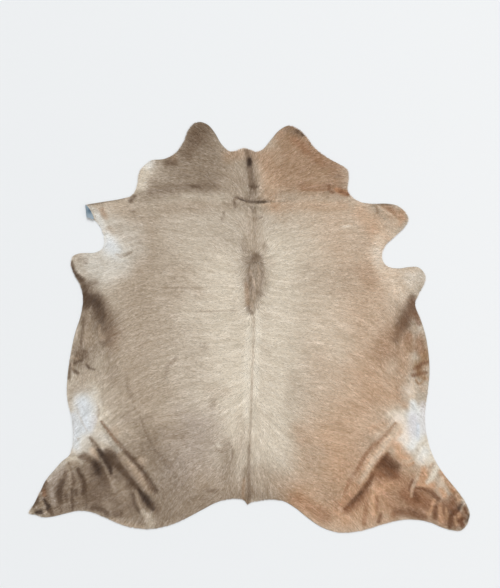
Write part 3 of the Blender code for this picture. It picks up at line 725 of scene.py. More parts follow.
# %% Strokes: the right foreleg
RIGHT_FORELEG = (
    # foreleg
    ("tan", 0.45, 0.9, (613, 561, 40), (713, 561, 60)),
    ("apricot", 0.35, 0.9, (553, 576, 35), (613, 516, 40), (653, 456, 35)),
    ("camel", 0.7, 0.9, (763, 576, 15), (768, 541, 15), (748, 516, 15)),
    ("tan", 0.6, 0.9, (713, 506, 25), (673, 436, 30)),
    ("russet", 0.35, 0.85, (668, 604, 12), (698, 588, 20), (723, 566, 25), (743, 541, 15)),
    ("chestnut", 0.25, 0.8, (693, 591, 10), (718, 571, 12)),
    ("umber", 0.45, 0.8, (643, 614, 5), (703, 612, 5)),
    # a line of painted light along the crest of the foreleg's ridge
    ("pink_cream", 0.6, 0.8, (643, 603, 5.5), (673, 586, 7), (703, 566, 8), (743, 526, 6)),
    ("ochre", 0.6, 0.75, (635, 604, 4), (640, 573, 4.5)),
    ("greige", 0.4, 0.85, (641, 583, 12)),
    # armpit
    ("pink_cream", 0.75, 0.9, (653, 446, 30), (638, 371, 35), (663, 306, 45)),
    ("pale_stone", 0.35, 0.9, (638, 386, 25), (648, 326, 25)),
    ("greige", 0.5, 0.85, (678, 308, 9)),
    # chest lobe
    ("pink_cream", 0.8, 0.9, (723, 256, 60), (803, 266, 50), (743, 186, 50)),
    ("pale_stone", 0.5, 0.9, (803, 246, 35), (853, 256, 25)),
    ("rose_brown", 0.4, 0.9, (573, 276, 40), (603, 226, 35)),
    ("ivory", 0.5, 0.8, (468, 501, 7), (503, 506, 6)),
)

# %% Strokes: the right flank
RIGHT_FLANK = (
    # dark band
    ("chestnut", 0.3, 1, (808, 116, 30), (763, 26, 45), (723, -44, 50), (683, -99, 45)),
    ("umber", 0.62, 0.85, (813, 151, 13), (808, 111, 25), (793, 66, 33), (768, 21, 35), (743, -24, 32),
        (728, -59, 20)),
    ("bay", 0.4, 0.9, (818, 121, 20), (808, 81, 25), (773, 26, 22), (738, -39, 20)),
    ("bay", 0.55, 0.9, (831, 66, 14), (845, 21, 14)),
    ("rose_brown", 0.6, 1, (723, -24, 35), (683, -94, 45), (663, -139, 50), (703, -124, 40)),
    ("camel", 0.55, 0.9, (793, -74, 30), (773, -134, 35), (773, -204, 35)),
    ("rose_brown", 0.8, 0.9, (793, -44, 25), (803, -104, 20), (858, -94, 20), (853, -79, 25), (863, -124, 25)),
    ("tan", 0.55, 0.85, (826, -6, 11)),
    ("ochre", 0.85, 0.9, (873, -134, 20), (873, -174, 25), (843, -194, 25), (853, -229, 25), (878, -254, 15)),
    # curls
    ("bay", 0.6, 0.8, (893, -172, 7), (868, -179, 8), (841, -197, 8.5), (823, -212, 7)),
    ("bay", 0.65, 0.8, (886, -226, 7), (853, -232, 7), (818, -241, 9)),
    ("bay", 0.35, 0.85, (848, -209, 12)),
    ("ochre", 0.75, 0.75, (831, -264, 5.5), (846, -284, 6.5), (866, -274, 5.5)),
    # blush
    ("pink_cream", 0.8, 0.85, (813, -269, 10), (816, -309, 17), (808, -354, 20)),
    ("tan", 0.6, 0.9, (863, -304, 20)),
    ("camel", 0.35, 1, (653, -324, 50), (703, -364, 40)),
)

# %% Strokes: the right groin, which is almost bare
RIGHT_GROIN = (
    ("white", 0.9, 0.85, (818, -384, 20), (833, -444, 50), (838, -514, 60), (808, -584, 40)),
    ("lilac_grey", 0.7, 0.9, (823, -454, 25), (808, -524, 30)),
    ("blue_white", 0.5, 0.7, (843, -484, 7), (843, -564, 9)),
    ("taupe", 0.3, 0.8, (788, -409, 12)),
    ("ivory", 0.6, 0.8, (763, -424, 11), (763, -494, 11), (783, -564, 15)),
    ("greige", 0.3, 0.8, (888, -374, 5), (883, -464, 5)),
    ("lilac_grey", 0.5, 1, (868, -384, 15), (875, -454, 17), (878, -524, 17)),
    ("pale_stone", 0.45, 1, (768, -464, 20), (768, -524, 20)),
    # a darker line along the groin's tuck, partly painted shade in its crease
    ("greige", 0.6, 0.75, (883, -569, 8.5), (863, -594, 8.5), (838, -614, 5)),
    ("ivory", 0.95, 0.85, (883, -594, 45), (878, -639, 50), (903, -669, 30)),
    ("ivory", 0.6, 0.85, (698, -439, 15), (733, -424, 15)),
)

# %% Strokes: the right hock, with its pucker, and painted shade and light on it
RIGHT_HOCK = (
    # below the groin
    ("chestnut", 0.55, 0.6, (663, -754, 50), (763, -824, 85), (903, -904, 80), (1023, -944, 60)),
    ("white", 0.5, 1, (878, -619, 25), (853, -654, 20)),
    ("milk", 0.9, 0.9, (743, -454, 25), (748, -504, 40), (758, -554, 40)),
    ("apricot", 0.35, 0.9, (623, -509, 25), (673, -499, 30), (683, -524, 20)),
    ("apricot", 0.75, 0.9, (738, -594, 20), (753, -634, 25), (778, -659, 27)),
    ("pink_cream", 0.5, 0.8, (768, -669, 10), (803, -669, 10)),
    ("russet", 0.5, 0.8, (798, -691, 6), (820, -676, 6)),
    # hock: its dark patch is brown hair deepened with painted shade beyond the pucker
    ("bay", 0.8, 0.8, (688, -639, 15), (683, -674, 32), (708, -699, 35)),
    ("bay", 0.75, 0.8, (663, -664, 20), (636, -694, 20)),
    ("black_brown", 0.22, 0.9, (673, -654, 12), (683, -684, 23), (733, -694, 18)),
    ("chestnut", 0.75, 0.9, (683, -729, 25), (728, -744, 20), (623, -729, 18)),
    ("greige", 0.4, 0.85, (683, -724, 12), (703, -734, 12)),
    ("apricot", 0.6, 0.9, (703, -784, 23), (643, -814, 30), (623, -849, 20)),
    ("camel", 0.5, 0.9, (698, -859, 30), (743, -794, 25)),
    # pucker: painted shade in its crease and on its lee flank, painted light on its crest
    ("bay", 0.8, 0.85, (613, -734, 12), (598, -769, 13), (573, -807, 18), (543, -847, 20), (508, -884, 17),
        (478, -907, 9)),
    ("black_brown", 0.3, 0.9, (558, -824, 9), (523, -862, 12), (498, -887, 8)),
    ("chestnut", 0.55, 0.9, (588, -834, 20), (543, -884, 20), (483, -919, 20)),
    ("apricot", 0.75, 0.7, (738, -519, 20), (703, -559, 27), (671, -596, 26), (640, -634, 24), (608, -679, 23),
        (578, -724, 23), (551, -766, 23), (526, -802, 23), (496, -842, 21), (463, -882, 15)),
    ("pink_cream", 0.85, 0.85, (743, -499, 25), (703, -544, 25), (666, -599, 18), (623, -659, 16),
        (583, -719, 14), (548, -769, 11)),
    ("rose_brown", 0.35, 0.85, (576, -714, 6), (528, -789, 15), (483, -854, 12)),
    ("camel", 0.6, 0.7, (548, -724, 4.5), (513, -774, 5), (483, -819, 5)),
    ("chestnut", 0.62, 0.7, (733, -479, 5), (701, -517, 9.5), (673, -544, 11), (643, -571, 11), (613, -599, 11),
        (592, -624, 12), (573, -652, 11.5), (558, -679, 11.5), (543, -709, 12), (521, -737, 10.5),
        (503, -766, 11), (486, -799, 9.5), (473, -834, 7)),
)

# %% Strokes: the right shank
RIGHT_SHANK = (
    # shank
    ("rose_brown", 0.6, 0.9, (733, -839, 30), (763, -874, 25)),
    ("chestnut", 0.8, 0.85, (773, -834, 25), (833, -859, 40), (883, -879, 35)),
    ("bay", 0.65, 0.9, (826, -834, 17), (838, -864, 15)),
    ("bay", 0.8, 0.8, (815, -764, 5), (807, -789, 8), (803, -809, 7)),
    ("apricot", 0.85, 0.8, (868, -709, 15), (873, -749, 25), (853, -784, 18), (908, -789, 23)),
    ("camel", 0.6, 0.85, (863, -734, 12), (863, -769, 12)),
    ("bay", 0.6, 0.8, (833, -804, 6), (868, -806, 8.5), (903, -819, 12), (923, -834, 11)),
    ("bay", 0.65, 0.85, (926, -844, 8.5), (945, -856, 9.5)),
    ("tan", 0.85, 0.75, (850, -719, 7), (838, -751, 8.5), (824, -782, 8.5), (812, -809, 7.5), (810, -844, 6)),
    ("camel", 0.5, 0.8, (813, -804, 7), (810, -844, 6)),
    ("pink_cream", 0.5, 0.9, (968, -779, 15)),
    ("tan", 0.85, 0.8, (913, -687, 11), (903, -704, 8.5)),
    ("ivory", 0.9, 0.8, (938, -701, 13), (921, -734, 14), (905, -761, 14), (888, -777, 9)),
    ("camel", 0.85, 0.85, (958, -724, 13), (986, -767, 16), (1016, -812, 16), (1048, -856, 13)),
    ("pink_cream", 0.75, 0.85, (961, -754, 10), (963, -784, 12)),
    ("apricot", 0.85, 0.85, (960, -814, 16), (976, -844, 14)),
    ("russet", 0.6, 0.85, (1016, -817, 11)),
    ("bay", 0.55, 0.9, (1013, -894, 35), (1043, -934, 35), (1033, -974, 30)),
    ("chestnut", 0.5, 0.9, (963, -904, 30), (973, -974, 25)),
    ("chestnut", 0.6, 0.85, (1011, -849, 13), (1018, -874, 13), (1008, -894, 12)),
    ("camel", 0.7, 0.85, (1043, -866, 11)),
    # ribs: ripples of the leather, painted as light and dark lines over the hair
    ("apricot", 0.8, 0.8, (923, -864, 7), (914, -887, 8.5), (908, -919, 8)),
    ("bay", 0.75, 0.8, (934, -897, 9), (927, -922, 11.5), (928, -954, 11.5)),
    ("apricot", 0.65, 0.8, (953, -884, 7.5), (953, -929, 11.5), (958, -969, 11.5)),
    ("bay", 0.5, 0.75, (970, -884, 4), (972, -934, 4)),
    ("camel", 0.8, 0.75, (984, -904, 5.5), (985, -959, 7.5)),
    ("black_brown", 0.4, 0.8, (1013, -924, 9), (1006, -959, 10), (1003, -994, 10)),
    ("bay", 0.75, 0.8, (1053, -897, 11), (1038, -914, 12.5), (1018, -927, 12.5), (1007, -959, 12),
        (1003, -997, 11)),
    ("black_brown", 0.6, 0.85, (1068, -881, 5.5), (1048, -904, 10)),
    ("camel", 0.8, 0.75, (1028, -949, 7.5), (1033, -984, 9.5)),
    # toe
    ("pink_cream", 0.75, 0.7, (1076, -877, 5), (1063, -899, 5), (1056, -919, 5)),
    ("apricot", 0.8, 0.8, (1048, -937, 10.5), (1048, -949, 9)),
    ("camel", 0.6, 0.8, (1058, -981, 6)),
    ("bay", 0.65, 0.8, (1078, -904, 8.5), (1086, -929, 7.5)),
    ("tan", 0.6, 0.75, (1071, -921, 5)),
    ("bay", 0.9, 0.8, (1076, -954, 8.5), (1051, -964, 10), (1066, -989, 11)),
    ("sepia", 0.6, 0.8, (1093, -942, 6), (1086, -972, 8)),
    # hem
    ("bay", 0.6, 0.85, (738, -924, 20), (813, -929, 22), (873, -949, 15)),
    ("apricot", 0.5, 0.85, (893, -932, 15)),
    # buttock
    ("bay", 0.65, 0.8, (660, -934, 9), (646, -969, 10)),
    ("chestnut", 0.6, 0.8, (590, -874, 9), (581, -924, 11), (571, -984, 11)),
    ("chestnut", 0.6, 0.8, (638, -849, 8), (638, -909, 9)),
    ("apricot", 0.65, 0.8, (621, -864, 9), (623, -934, 10)),
    ("tan", 0.65, 0.8, (683, -944, 14)),
    ("chestnut", 0.5, 0.85, (718, -937, 13)),
    ("apricot", 0.35, 0.9, (433, -924, 15), (483, -964, 20)),
    ("camel", 0.3, 1, (273, -839, 50), (343, -814, 60)),
)

# %% [markdown]
# A painter steps back at the end, and brings whole places a little up or down with thin washes. That is easier
# than to change each of the strokes below them.

# %% Strokes: the last thin washes, which bring whole places to their tone
LAST_WASHES = (
    # left foreleg, chest and flank
    ("pale_stone", 0.35, 1, (-812, 596, 15)),
    ("white", 0.3, 1, (-787, 386, 20), (-757, 386, 25), (-677, 376, 30)),
    ("umber", 0.3, 1, (-822, 91, 17), (-822, 26, 20)),
    ("taupe", 0.45, 1, (-877, -314, 20), (-817, -304, 25)),
    ("tan", 0.45, 1, (-672, -524, 25)),
    ("taupe", 0.4, 1, (-677, -599, 25)),
    # left hock, shank and rump
    ("tan", 0.55, 1, (-537, -669, 20)),
    # painted shade around the hock's small pucker, over dark hair
    ("sepia", 0.2, 1, (-827, -669, 30), (-747, -674, 30), (-677, -669, 30)),
    ("sepia", 0.2, 1, (-747, -744, 25), (-667, -739, 25)),
    ("umber", 0.25, 1, (-877, -879, 30), (-807, -864, 35), (-747, -839, 35)),
    ("umber", 0.22, 1, (-1027, -949, 25), (-957, -944, 25)),
    ("umber", 0.12, 1, (-537, -809, 30), (-437, -819, 40), (-317, -809, 40)),
    ("umber", 0.3, 1, (-327, -949, 20)),
    # loins and back
    ("taupe", 0.32, 1, (-467, -469, 35), (-387, -459, 35)),
    ("taupe", 0.32, 1, (-537, -319, 35), (-397, -319, 30)),
    ("taupe", 0.3, 1, (-187, -319, 30), (-117, -324, 25)),
    ("taupe", 0.28, 1, (-47, -459, 25), (-32, -529, 30), (-47, -599, 25)),
    ("camel", 0.22, 1, (373, -529, 35)),
    ("taupe", 0.25, 1, (223, -254, 30), (223, -324, 35), (203, -389, 30)),
    ("ivory", 0.32, 1, (-47, 241, 25), (-47, 166, 25)),
    ("ivory", 0.32, 1, (23, -39, 25), (93, -44, 30)),
    ("ivory", 0.22, 1, (163, 301, 30), (238, 306, 30)),
    ("taupe", 0.3, 1, (93, 321, 30)),
    # withers and neck
    ("taupe", 0.32, 1, (-387, 581, 35), (-257, 591, 35)),
    ("taupe", 0.25, 1, (-47, 521, 25)),
    ("taupe", 0.35, 1, (-257, 171, 30)),
    ("greige", 0.32, 1, (-47, 731, 25)),
    ("umber", 0.14, 1, (-257, 871, 30)),
    ("sand", 0.35, 1, (163, 656, 30), (233, 666, 30)),
    # right groin, hock and rump
    ("milk", 0.6, 1, (788, -319, 25)),
    ("camel", 0.6, 1, (778, -389, 17)),
    ("pink_cream", 0.4, 1, (723, -399, 30)),
    ("pink_cream", 0.38, 1, (643, -534, 25), (723, -519, 30)),
    # painted shade along the start of the right pucker's crease
    ("rose_brown", 0.6, 0.8, (728, -479, 5), (703, -514, 6.5), (673, -544, 7.5)),
    # the hock's dark patch: brown hair, deepened with painted shade
    ("bay", 0.24, 1, (653, -674, 25), (723, -674, 25), (723, -739, 20)),
    ("bay", 0.4, 1, (673, -709, 25), (708, -734, 25)),
    ("milk", 0.6, 1, (863, -669, 25)),
    ("tan", 0.45, 1, (513, -739, 25)),
    ("chestnut", 0.25, 1, (443, -879, 30), (513, -879, 30)),
    ("chestnut", 0.22, 1, (723, -884, 30), (723, -949, 25)),
    # right foreleg and flank
    ("pink_cream", 0.4, 1, (653, 516, 20), (723, 511, 30), (733, 446, 25)),
    ("chestnut", 0.3, 1, (853, -44, 20), (858, -114, 20)),
    ("chestnut", 0.25, 1, (793, -49, 20)),
    # tail
    ("cream", 0.5, 1, (23, -874, 20)),
)

# %% All the strokes, in the order in which they are laid
Stroke = namedtuple("Stroke", "colour strength softness path")
REGIONS = (
    GROUND_TONES, NECK, SPINE, LEFT_FORELEG, LEFT_FLANK, LEFT_GROIN, LEFT_HOCK, LEFT_SHANK, LEFT_RUMP_LINES,
    RIGHT_FORELEG, RIGHT_FLANK, RIGHT_GROIN, RIGHT_HOCK, RIGHT_SHANK, LAST_WASHES,
)
STROKES = [
    Stroke(colour, strength, softness, np.array(path) / MILLIMETRE)
    for region in REGIONS
    for colour, strength, softness, *path in region
]
print(len(STROKES), "strokes in", len(REGIONS), "regions")


# %% [markdown]
# Each stroke could be a few shader nodes, but hundreds of them would render slowly. Arrays are quicker: they
# work out the colour once for each corner of a mesh, and the finish only reads it.

# %% Noise with smooth lumps
NOISE_CELLS = 256  # after so many, the noise repeats


def smooth_step(t):
    """From 0 to 1, level at both ends."""
    t = np.clip(t, 0, 1)
    return t * t * (3 - 2 * t)


def noise(x, y, size, seed):
    """Smooth noise from -1 to 1, with lumps of about this size."""
    table = np.random.default_rng(seed).uniform(-1, 1, (NOISE_CELLS, NOISE_CELLS))
    i, j = np.floor(x / size).astype(int), np.floor(y / size).astype(int)
    a, b = smooth_step(x / size - i), smooth_step(y / size - j)
    i, j, i1, j1 = (cell % NOISE_CELLS for cell in (i, j, i + 1, j + 1))
    low = table[i, j] * (1 - a) + table[i1, j] * a
    high = table[i, j1] * (1 - a) + table[i1, j1] * a
    return low * (1 - b) + high * b


# %% Painting
MOST_WANDER = 0.006  # of a wide stroke's edge
WANDER_SHARE = 0.12  # of a narrow stroke's half-width


def stroke_cover(stroke, x, y):
    """How much of a stroke's colour each point takes, from 0 to 1."""
    path = stroke.path
    if len(path) == 1:
        share = np.hypot(x - path[0, 0], y - path[0, 1]) / path[0, 2]
    else:
        share = np.full(x.shape, np.inf)
        for a, b in zip(path, path[1:]):
            way = b[:2] - a[:2]
            t = np.clip(((x - a[0]) * way[0] + (y - a[1]) * way[1]) / (way @ way), 0, 1)
            gap = np.hypot(x - a[0] - t * way[0], y - a[1] - t * way[1])
            share = np.minimum(share, gap / (a[2] + (b[2] - a[2]) * t))
    faded = smooth_step((share - 1 + stroke.softness) / (2 * stroke.softness))
    return stroke.strength * (1 - faded)


def painted(x, y):
    """The coat's sRGB colour at each point of the flat skin."""
    wander_x = noise(x, y, size=0.05, seed=11) + 0.5 * noise(x, y, size=0.015, seed=12)
    wander_y = noise(x, y, size=0.05, seed=13) + 0.5 * noise(x, y, size=0.015, seed=14)
    colour = np.tile(np.array(COLOURS[GROUND], float), (len(x), 1))
    for stroke in STROKES:
        places, widths = stroke.path[:, :2], stroke.path[:, 2]
        reach = widths.max() * (1 + stroke.softness)
        low, high = places.min(0) - reach, places.max(0) + reach
        near = np.flatnonzero((x > low[0]) & (x < high[0]) & (y > low[1]) & (y < high[1]))
        wander = min(MOST_WANDER, WANDER_SHARE * widths.max())
        near_x, near_y = x[near] + wander * wander_x[near], y[near] + wander * wander_y[near]
        cover = stroke_cover(stroke, near_x, near_y)[:, None]
        colour[near] += (np.array(COLOURS[stroke.colour], float) - colour[near]) * cover
    return colour


def to_linear(srgb):
    """sRGB from 0 to 255 as the linear numbers that shaders work with."""
    c = np.clip(srgb, 0, 255) / 255
    return np.where(c <= 0.04045, c / 12.92, ((c + 0.055) / 1.055) ** 2.4)


edge_dyes = painted(*EDGE.T)
print("along the edge, the coat goes from", edge_dyes.min(0).round(), "to", edge_dyes.max(0).round())

# %% [markdown]
# ## How the coat lies
#
# Hair grows in streams. From the withers it runs back along the spine and turns outwards over the ribs; on
# the neck it runs forwards and outwards. Combing it along one direction would look like a brush, so a table
# holds its direction at places where it can be read, and between them the nearest ones count most.

# %% The direction of the hair: x and y in millimetres, degrees anticlockwise from +X
STREAMS = (
    (-247, 986, 150), (-222, 861, 158), (-122, 761, 158), (-322, 736, 170), (-422, 776, 178), (-497, 811, 185),
    (-172, 661, 162), (-347, 636, 172), (193, 976, 35), (203, 861, 32), (128, 761, 30), (278, 761, 25),
    (378, 746, 12), (453, 786, 0), (178, 661, 20), (353, 636, 5), (-2, 856, 90), (3, 761, 90), (8, 661, 90),
    (-47, 811, 135), (63, 811, 45), (-47, 686, 130), (63, 686, 45), (-47, 561, 140), (83, 561, 40),
    (13, 561, 90), (-107, 476, 160), (153, 476, 10), (23, 421, 90), (-17, 401, 120), (63, 396, 60),
    (28, 341, 90), (-17, 341, 165), (73, 341, 15), (28, 306, 270), (-2, 276, 245), (63, 276, 295),
    (-12, 206, 258), (63, 206, 285), (28, 186, 270), (-57, 326, 165), (113, 326, 10), (-67, 211, 165),
    (113, 211, 2), (-22, 111, 200), (73, 121, 340), (23, 111, 270), (-57, 111, 176), (103, 121, 358),
    (18, 36, 270), (18, -39, 270), (-17, 26, 200), (53, 36, 340), (-17, -54, 196), (53, -44, 344),
    (-52, 11, 174), (88, 11, 2), (-77, -64, 178), (113, -64, 358), (15, -124, 270), (14, -214, 270),
    (-20, -139, 196), (48, -129, 342), (-22, -219, 200), (48, -214, 336), (-57, -174, 184), (83, -174, 352),
    (-107, -194, 188), (133, -184, 350), (13, -294, 270), (10, -364, 270), (-22, -299, 206), (43, -294, 330),
    (-62, -304, 190), (83, -294, 348), (-247, 461, 168), (-247, 286, 167), (-247, 86, 171), (-247, -89, 178),
    (-247, -254, 182), (-447, 461, 170), (-447, 236, 184), (-447, -14, 196), (-447, -264, 205), (278, 461, 12),
    (278, 311, 6), (273, 86, 355), (273, -89, 358), (273, -264, 352), (428, 411, 5), (453, 186, 352),
    (453, 11, 348), (478, -214, 334), (-622, 186, 195), (-622, -64, 205), (-622, -314, 215), (628, 186, 350),
    (628, -64, 335), (628, -314, 325), (-87, -374, 208), (-27, -374, 222), (43, -374, 322), (103, -374, 334),
    (8, -424, 270), (-32, -454, 222), (43, -454, 320), (-237, -439, 200), (263, -444, 330), (-377, -489, 188),
    (403, -514, 350), (-522, -564, 200), (533, -464, 338), (5, -514, 270), (3, -614, 270), (-47, -639, 250),
    (53, -639, 290), (-47, -789, 262), (53, -789, 278), (-2, -839, 270), (-137, -589, 210), (143, -589, 326),
    (-237, -614, 194), (273, -604, 328), (-187, -754, 225), (153, -739, 318), (-222, -839, 215),
    (253, -814, 335), (-347, -739, 235), (403, -739, 345), (-447, -889, 245), (453, -914, 320),
    (-647, -764, 222), (-522, -939, 240), (-697, -864, 210), (-797, -754, 215), (-822, -864, 205),
    (-922, -789, 225), (-947, -889, 200), (-1047, -904, 205), (678, -764, 315), (553, -864, 300),
    (753, -864, 325), (828, -764, 310), (903, -864, 318), (1003, -864, 312), (953, -939, 330),
    (1063, -939, 305), (-817, 136, 240), (-747, 36, 235), (-847, -64, 262), (-867, -189, 265),
    (-772, -164, 240), (-827, -364, 215), (-827, -514, 220), (-722, -414, 222), (818, 111, 300), (768, 26, 305),
    (853, -64, 278), (873, -189, 270), (753, -164, 305), (818, -389, 320), (823, -539, 318), (728, -439, 318),
    (-637, 586, 176), (-772, 586, 180), (-697, 511, 195), (-687, 406, 200), (-597, 326, 182), (-747, 286, 196),
    (-827, 326, 190), (-857, 261, 215), (603, 576, 2), (728, 576, 355), (703, 511, 335), (683, 386, 340),
    (603, 326, 0), (753, 261, 350), (843, 246, 330), (793, 176, 310),
)


# %% The direction anywhere, and noise that follows it
BLEND_RADIUS = 0.02  # nearer places than this count alike
STREAK_STEPS = 11


def hair_angle(x, y):
    """The direction of the hair at each point, in radians: an average of the places that favours near ones."""
    sum_x, sum_y = np.zeros(x.shape), np.zeros(x.shape)
    for at_x, at_y, degrees in STREAMS:
        away = (x - at_x / MILLIMETRE) ** 2 + (y - at_y / MILLIMETRE) ** 2
        weight = (away + BLEND_RADIUS**2) ** -2
        sum_x += weight * np.cos(np.radians(degrees))
        sum_y += weight * np.sin(np.radians(degrees))
    return np.arctan2(sum_y, sum_x)


def streaks(x, y, angle, size, reach, seed):
    """Noise drawn out along the hair, so that it makes locks instead of lumps."""
    steps = np.linspace(-reach, reach, STREAK_STEPS)
    total = sum(noise(x + s * np.cos(angle), y + s * np.sin(angle), size, seed) for s in steps)
    return total / STREAK_STEPS


print(len(STREAMS), "places give the hair's direction")

# %% [markdown]
# ## The hair
#
# A coat of real hairs would be millions of them, and hair curves don't export as a mesh, so each wisp here
# stands for a small lock: a cone with a base of three corners, pressed flat, pointed at its tip and closed at
# its root. One wisp is made with the operator. Its copies are placed with arrays, each on its own spot of the
# flat skin, turned the way the hair runs there, and laid as the skin is laid. The coat is in six bands, so
# that no piece is too large.


# %% One wisp, 1 long, 1 wide and 1 high, with its root at 0
WISP_SHAPE = ((1, 0, 0.75), (0, -0.5, 0), (0.38, 0.05, 1), (0, 0.5, 0))  # tip, side, back, side


def one_wisp():
    """The corners and faces of a wisp that lies along X."""
    bm = bmesh.new()
    bmesh.ops.create_cone(bm, segments=3, radius1=0.5, radius2=0, depth=1, cap_ends=True)
    bmesh.ops.remove_doubles(bm, verts=bm.verts[:], dist=1e-5)  # its point becomes one corner
    bm.verts.ensure_lookup_table()
    tip = max(bm.verts, key=lambda v: v.co.z)
    ring = sorted((v for v in bm.verts if v is not tip), key=lambda v: v.co.x)
    for v, place in zip((tip, *ring), WISP_SHAPE):
        v.co = place
    bmesh.ops.recalc_face_normals(bm, faces=bm.faces[:])
    bmesh.ops.triangulate(bm, faces=bm.faces[:])
    corners = np.array([v.co for v in bm.verts])
    faces = np.array([[v.index for v in face.verts] for face in bm.faces])
    bm.free()
    return corners, faces


WISP_CORNERS, WISP_FACES = one_wisp()
print("a wisp has", len(WISP_CORNERS), "corners and", len(WISP_FACES), "faces")

# %% [markdown]
# The wisps are rooted all over the skin, a few millimetres apart, on a grid whose spots are moved a little at
# random. On the shanks, the forelegs and the folds the coat is short and close, so the wisps there are smaller
# and nearer to each other. None is rooted right at the cut edge.


# %% Where the wisps are rooted
def edge_gap(x, y):
    """How far each point is inside the cut edge, or outside it if negative."""
    gap, inside = np.full(x.shape, np.inf), np.zeros(x.shape, bool)
    for (ax, ay), (bx, by) in zip(EDGE, EDGE_TO):
        way_x, way_y = bx - ax, by - ay
        t = np.clip(((x - ax) * way_x + (y - ay) * way_y) / (way_x**2 + way_y**2), 0, 1)
        np.minimum(gap, (x - ax - t * way_x) ** 2 + (y - ay - t * way_y) ** 2, out=gap)
        if ay != by:
            inside ^= ((ay > y) != (by > y)) & (x < ax + way_x * (y - ay) / way_y)
    return np.sqrt(gap) * np.where(inside, 1, -1)


ROOT_GAP = 0.0037
SHORT_GAP = 0.78  # as a share of the gap between long wisps
EDGE_MARGIN = 0.0012
HALF_WIDTH, HALF_LENGTH = 1.11, 1.03  # of the ground that the grid covers
SHANK_Y, SHANK_X, LIMB_X = -0.52, 0.62, 0.72  # where the limbs start
random = np.random.default_rng(7)


def scattered(step):
    """Spots a step apart all over the hide, each moved a little at random."""
    across, along = np.arange(-HALF_WIDTH, HALF_WIDTH, step), np.arange(-HALF_LENGTH, HALF_LENGTH, step)
    spots = np.meshgrid(across, along)
    return [axis.ravel() + random.uniform(-0.5, 0.5, axis.size) * step for axis in spots]


def short_haired(x, y):
    """Where the coat is short and close: on the shanks, the forelegs, and where the skin is folded."""
    return near_a_fold(x, y) | ((y < SHANK_Y) & (np.abs(x) > SHANK_X)) | (np.abs(x) > LIMB_X)


long_x, long_y = scattered(ROOT_GAP)
short_x, short_y = scattered(ROOT_GAP * SHORT_GAP)
long, short = ~short_haired(long_x, long_y), short_haired(short_x, short_y)
root_x = np.concatenate([long_x[long], short_x[short]])
root_y = np.concatenate([long_y[long], short_y[short]])
is_short = np.arange(len(root_x)) >= long.sum()
gap = edge_gap(root_x, root_y)
rooted = gap > EDGE_MARGIN
root_x, root_y, gap, is_short = root_x[rooted], root_y[rooted], gap[rooted], is_short[rooted]
count = len(root_x)
print(count, "wisps")

# %% [markdown]
# Each wisp follows the stream of the coat, give or take a few degrees. Hairs cling together in locks, so a
# wisp's height and shade come partly from noise that is drawn out along the hair. The ends of the hind legs
# are tousled, and in the white places the hairs are few and fine.

# %% How each wisp grows
TOE_X, TOE_LENGTH = 0.97, 0.05  # from here on, a hind leg's hair is tousled
STRAY, TOUSLED, HAIR_STRAY = 9, 30, 7  # degrees
LONGEST, SHORTEST = 0.021, 0.012
SHORT_LENGTH, SHORT_WIDTH = 0.62, 0.8  # of a short-haired wisp, as shares of a long one's
WIDEST, NARROWEST = 0.0042, 0.0028
LEAST_LENGTH, OVERHANG = 0.006, 1.1  # near the edge: the shortest, and how far the tips reach towards the edge
LOWEST, UNEVEN = 0.0014, 0.0006  # a wisp's height, and what chance adds
LOCK_RISE, LOCK_GAIN, LOCK_LOW, LOCK_HIGH = 0.0012, 2.2, -0.6, 1  # what its lock adds

angle = hair_angle(root_x, root_y)
locks = streaks(root_x, root_y, angle, size=0.005, reach=0.020, seed=21)
broad_locks = streaks(root_x, root_y, angle, size=0.011, reach=0.035, seed=22)
toe = np.clip((np.abs(root_x) - TOE_X) / TOE_LENGTH, 0, 1)
angle += np.radians(STRAY + TOUSLED * toe) * noise(root_x, root_y, size=0.018, seed=23)
angle += np.radians(HAIR_STRAY) * random.normal(size=count)
length = random.uniform(SHORTEST, LONGEST, count) * np.where(is_short, SHORT_LENGTH, 1.0)
length = np.minimum(length, LEAST_LENGTH + gap * OVERHANG)
width = random.uniform(NARROWEST, WIDEST, count) * np.where(is_short, SHORT_WIDTH, 1.0)
height = LOWEST + UNEVEN * random.random(count) + LOCK_RISE * np.clip(locks * LOCK_GAIN, LOCK_LOW, LOCK_HIGH)

# %% What shade each wisp is
MIXED_BELOW, MIXED_OVER = 205, 70  # the tone below which a coat mixes dark and pale hairs, and over how much
BARE_ABOVE, BARE_OVER = 200, 20  # the tone above which it thins to bare skin, and over how much
SHORTER, LOWER, CALMER = 0.25, 0.5, 0.7  # what bare skin takes off a wisp's length, height and contrast
# each contrast is what an even coat has, then what is added where dark and pale hairs mix
LOCK_CONTRAST, BROAD_CONTRAST, HAIR_CONTRAST = (0.13, 0.17), (0.09, 0.06), (0.03, 0.07)
SHORT_FLECKS, LONG_FLECKS = (0.05, 0.05), (0.01, 0.04)
TOE_FLECKS, TOE_DARKER = 0.16, 0.3
ASTRAY = 0.003  # how far along itself a wisp may take its colour from

tone = painted(root_x, root_y).mean(1)
mixed = np.clip((MIXED_BELOW - tone) / MIXED_OVER, 0, 1)
bare = np.clip((tone - BARE_ABOVE) / BARE_OVER, 0, 1)
length, height = length * (1 - SHORTER * bare), height * (1 - LOWER * bare)


def contrast(even, more):
    """A contrast that an even coat has, with more of it where the hairs are mixed."""
    return even + more * mixed


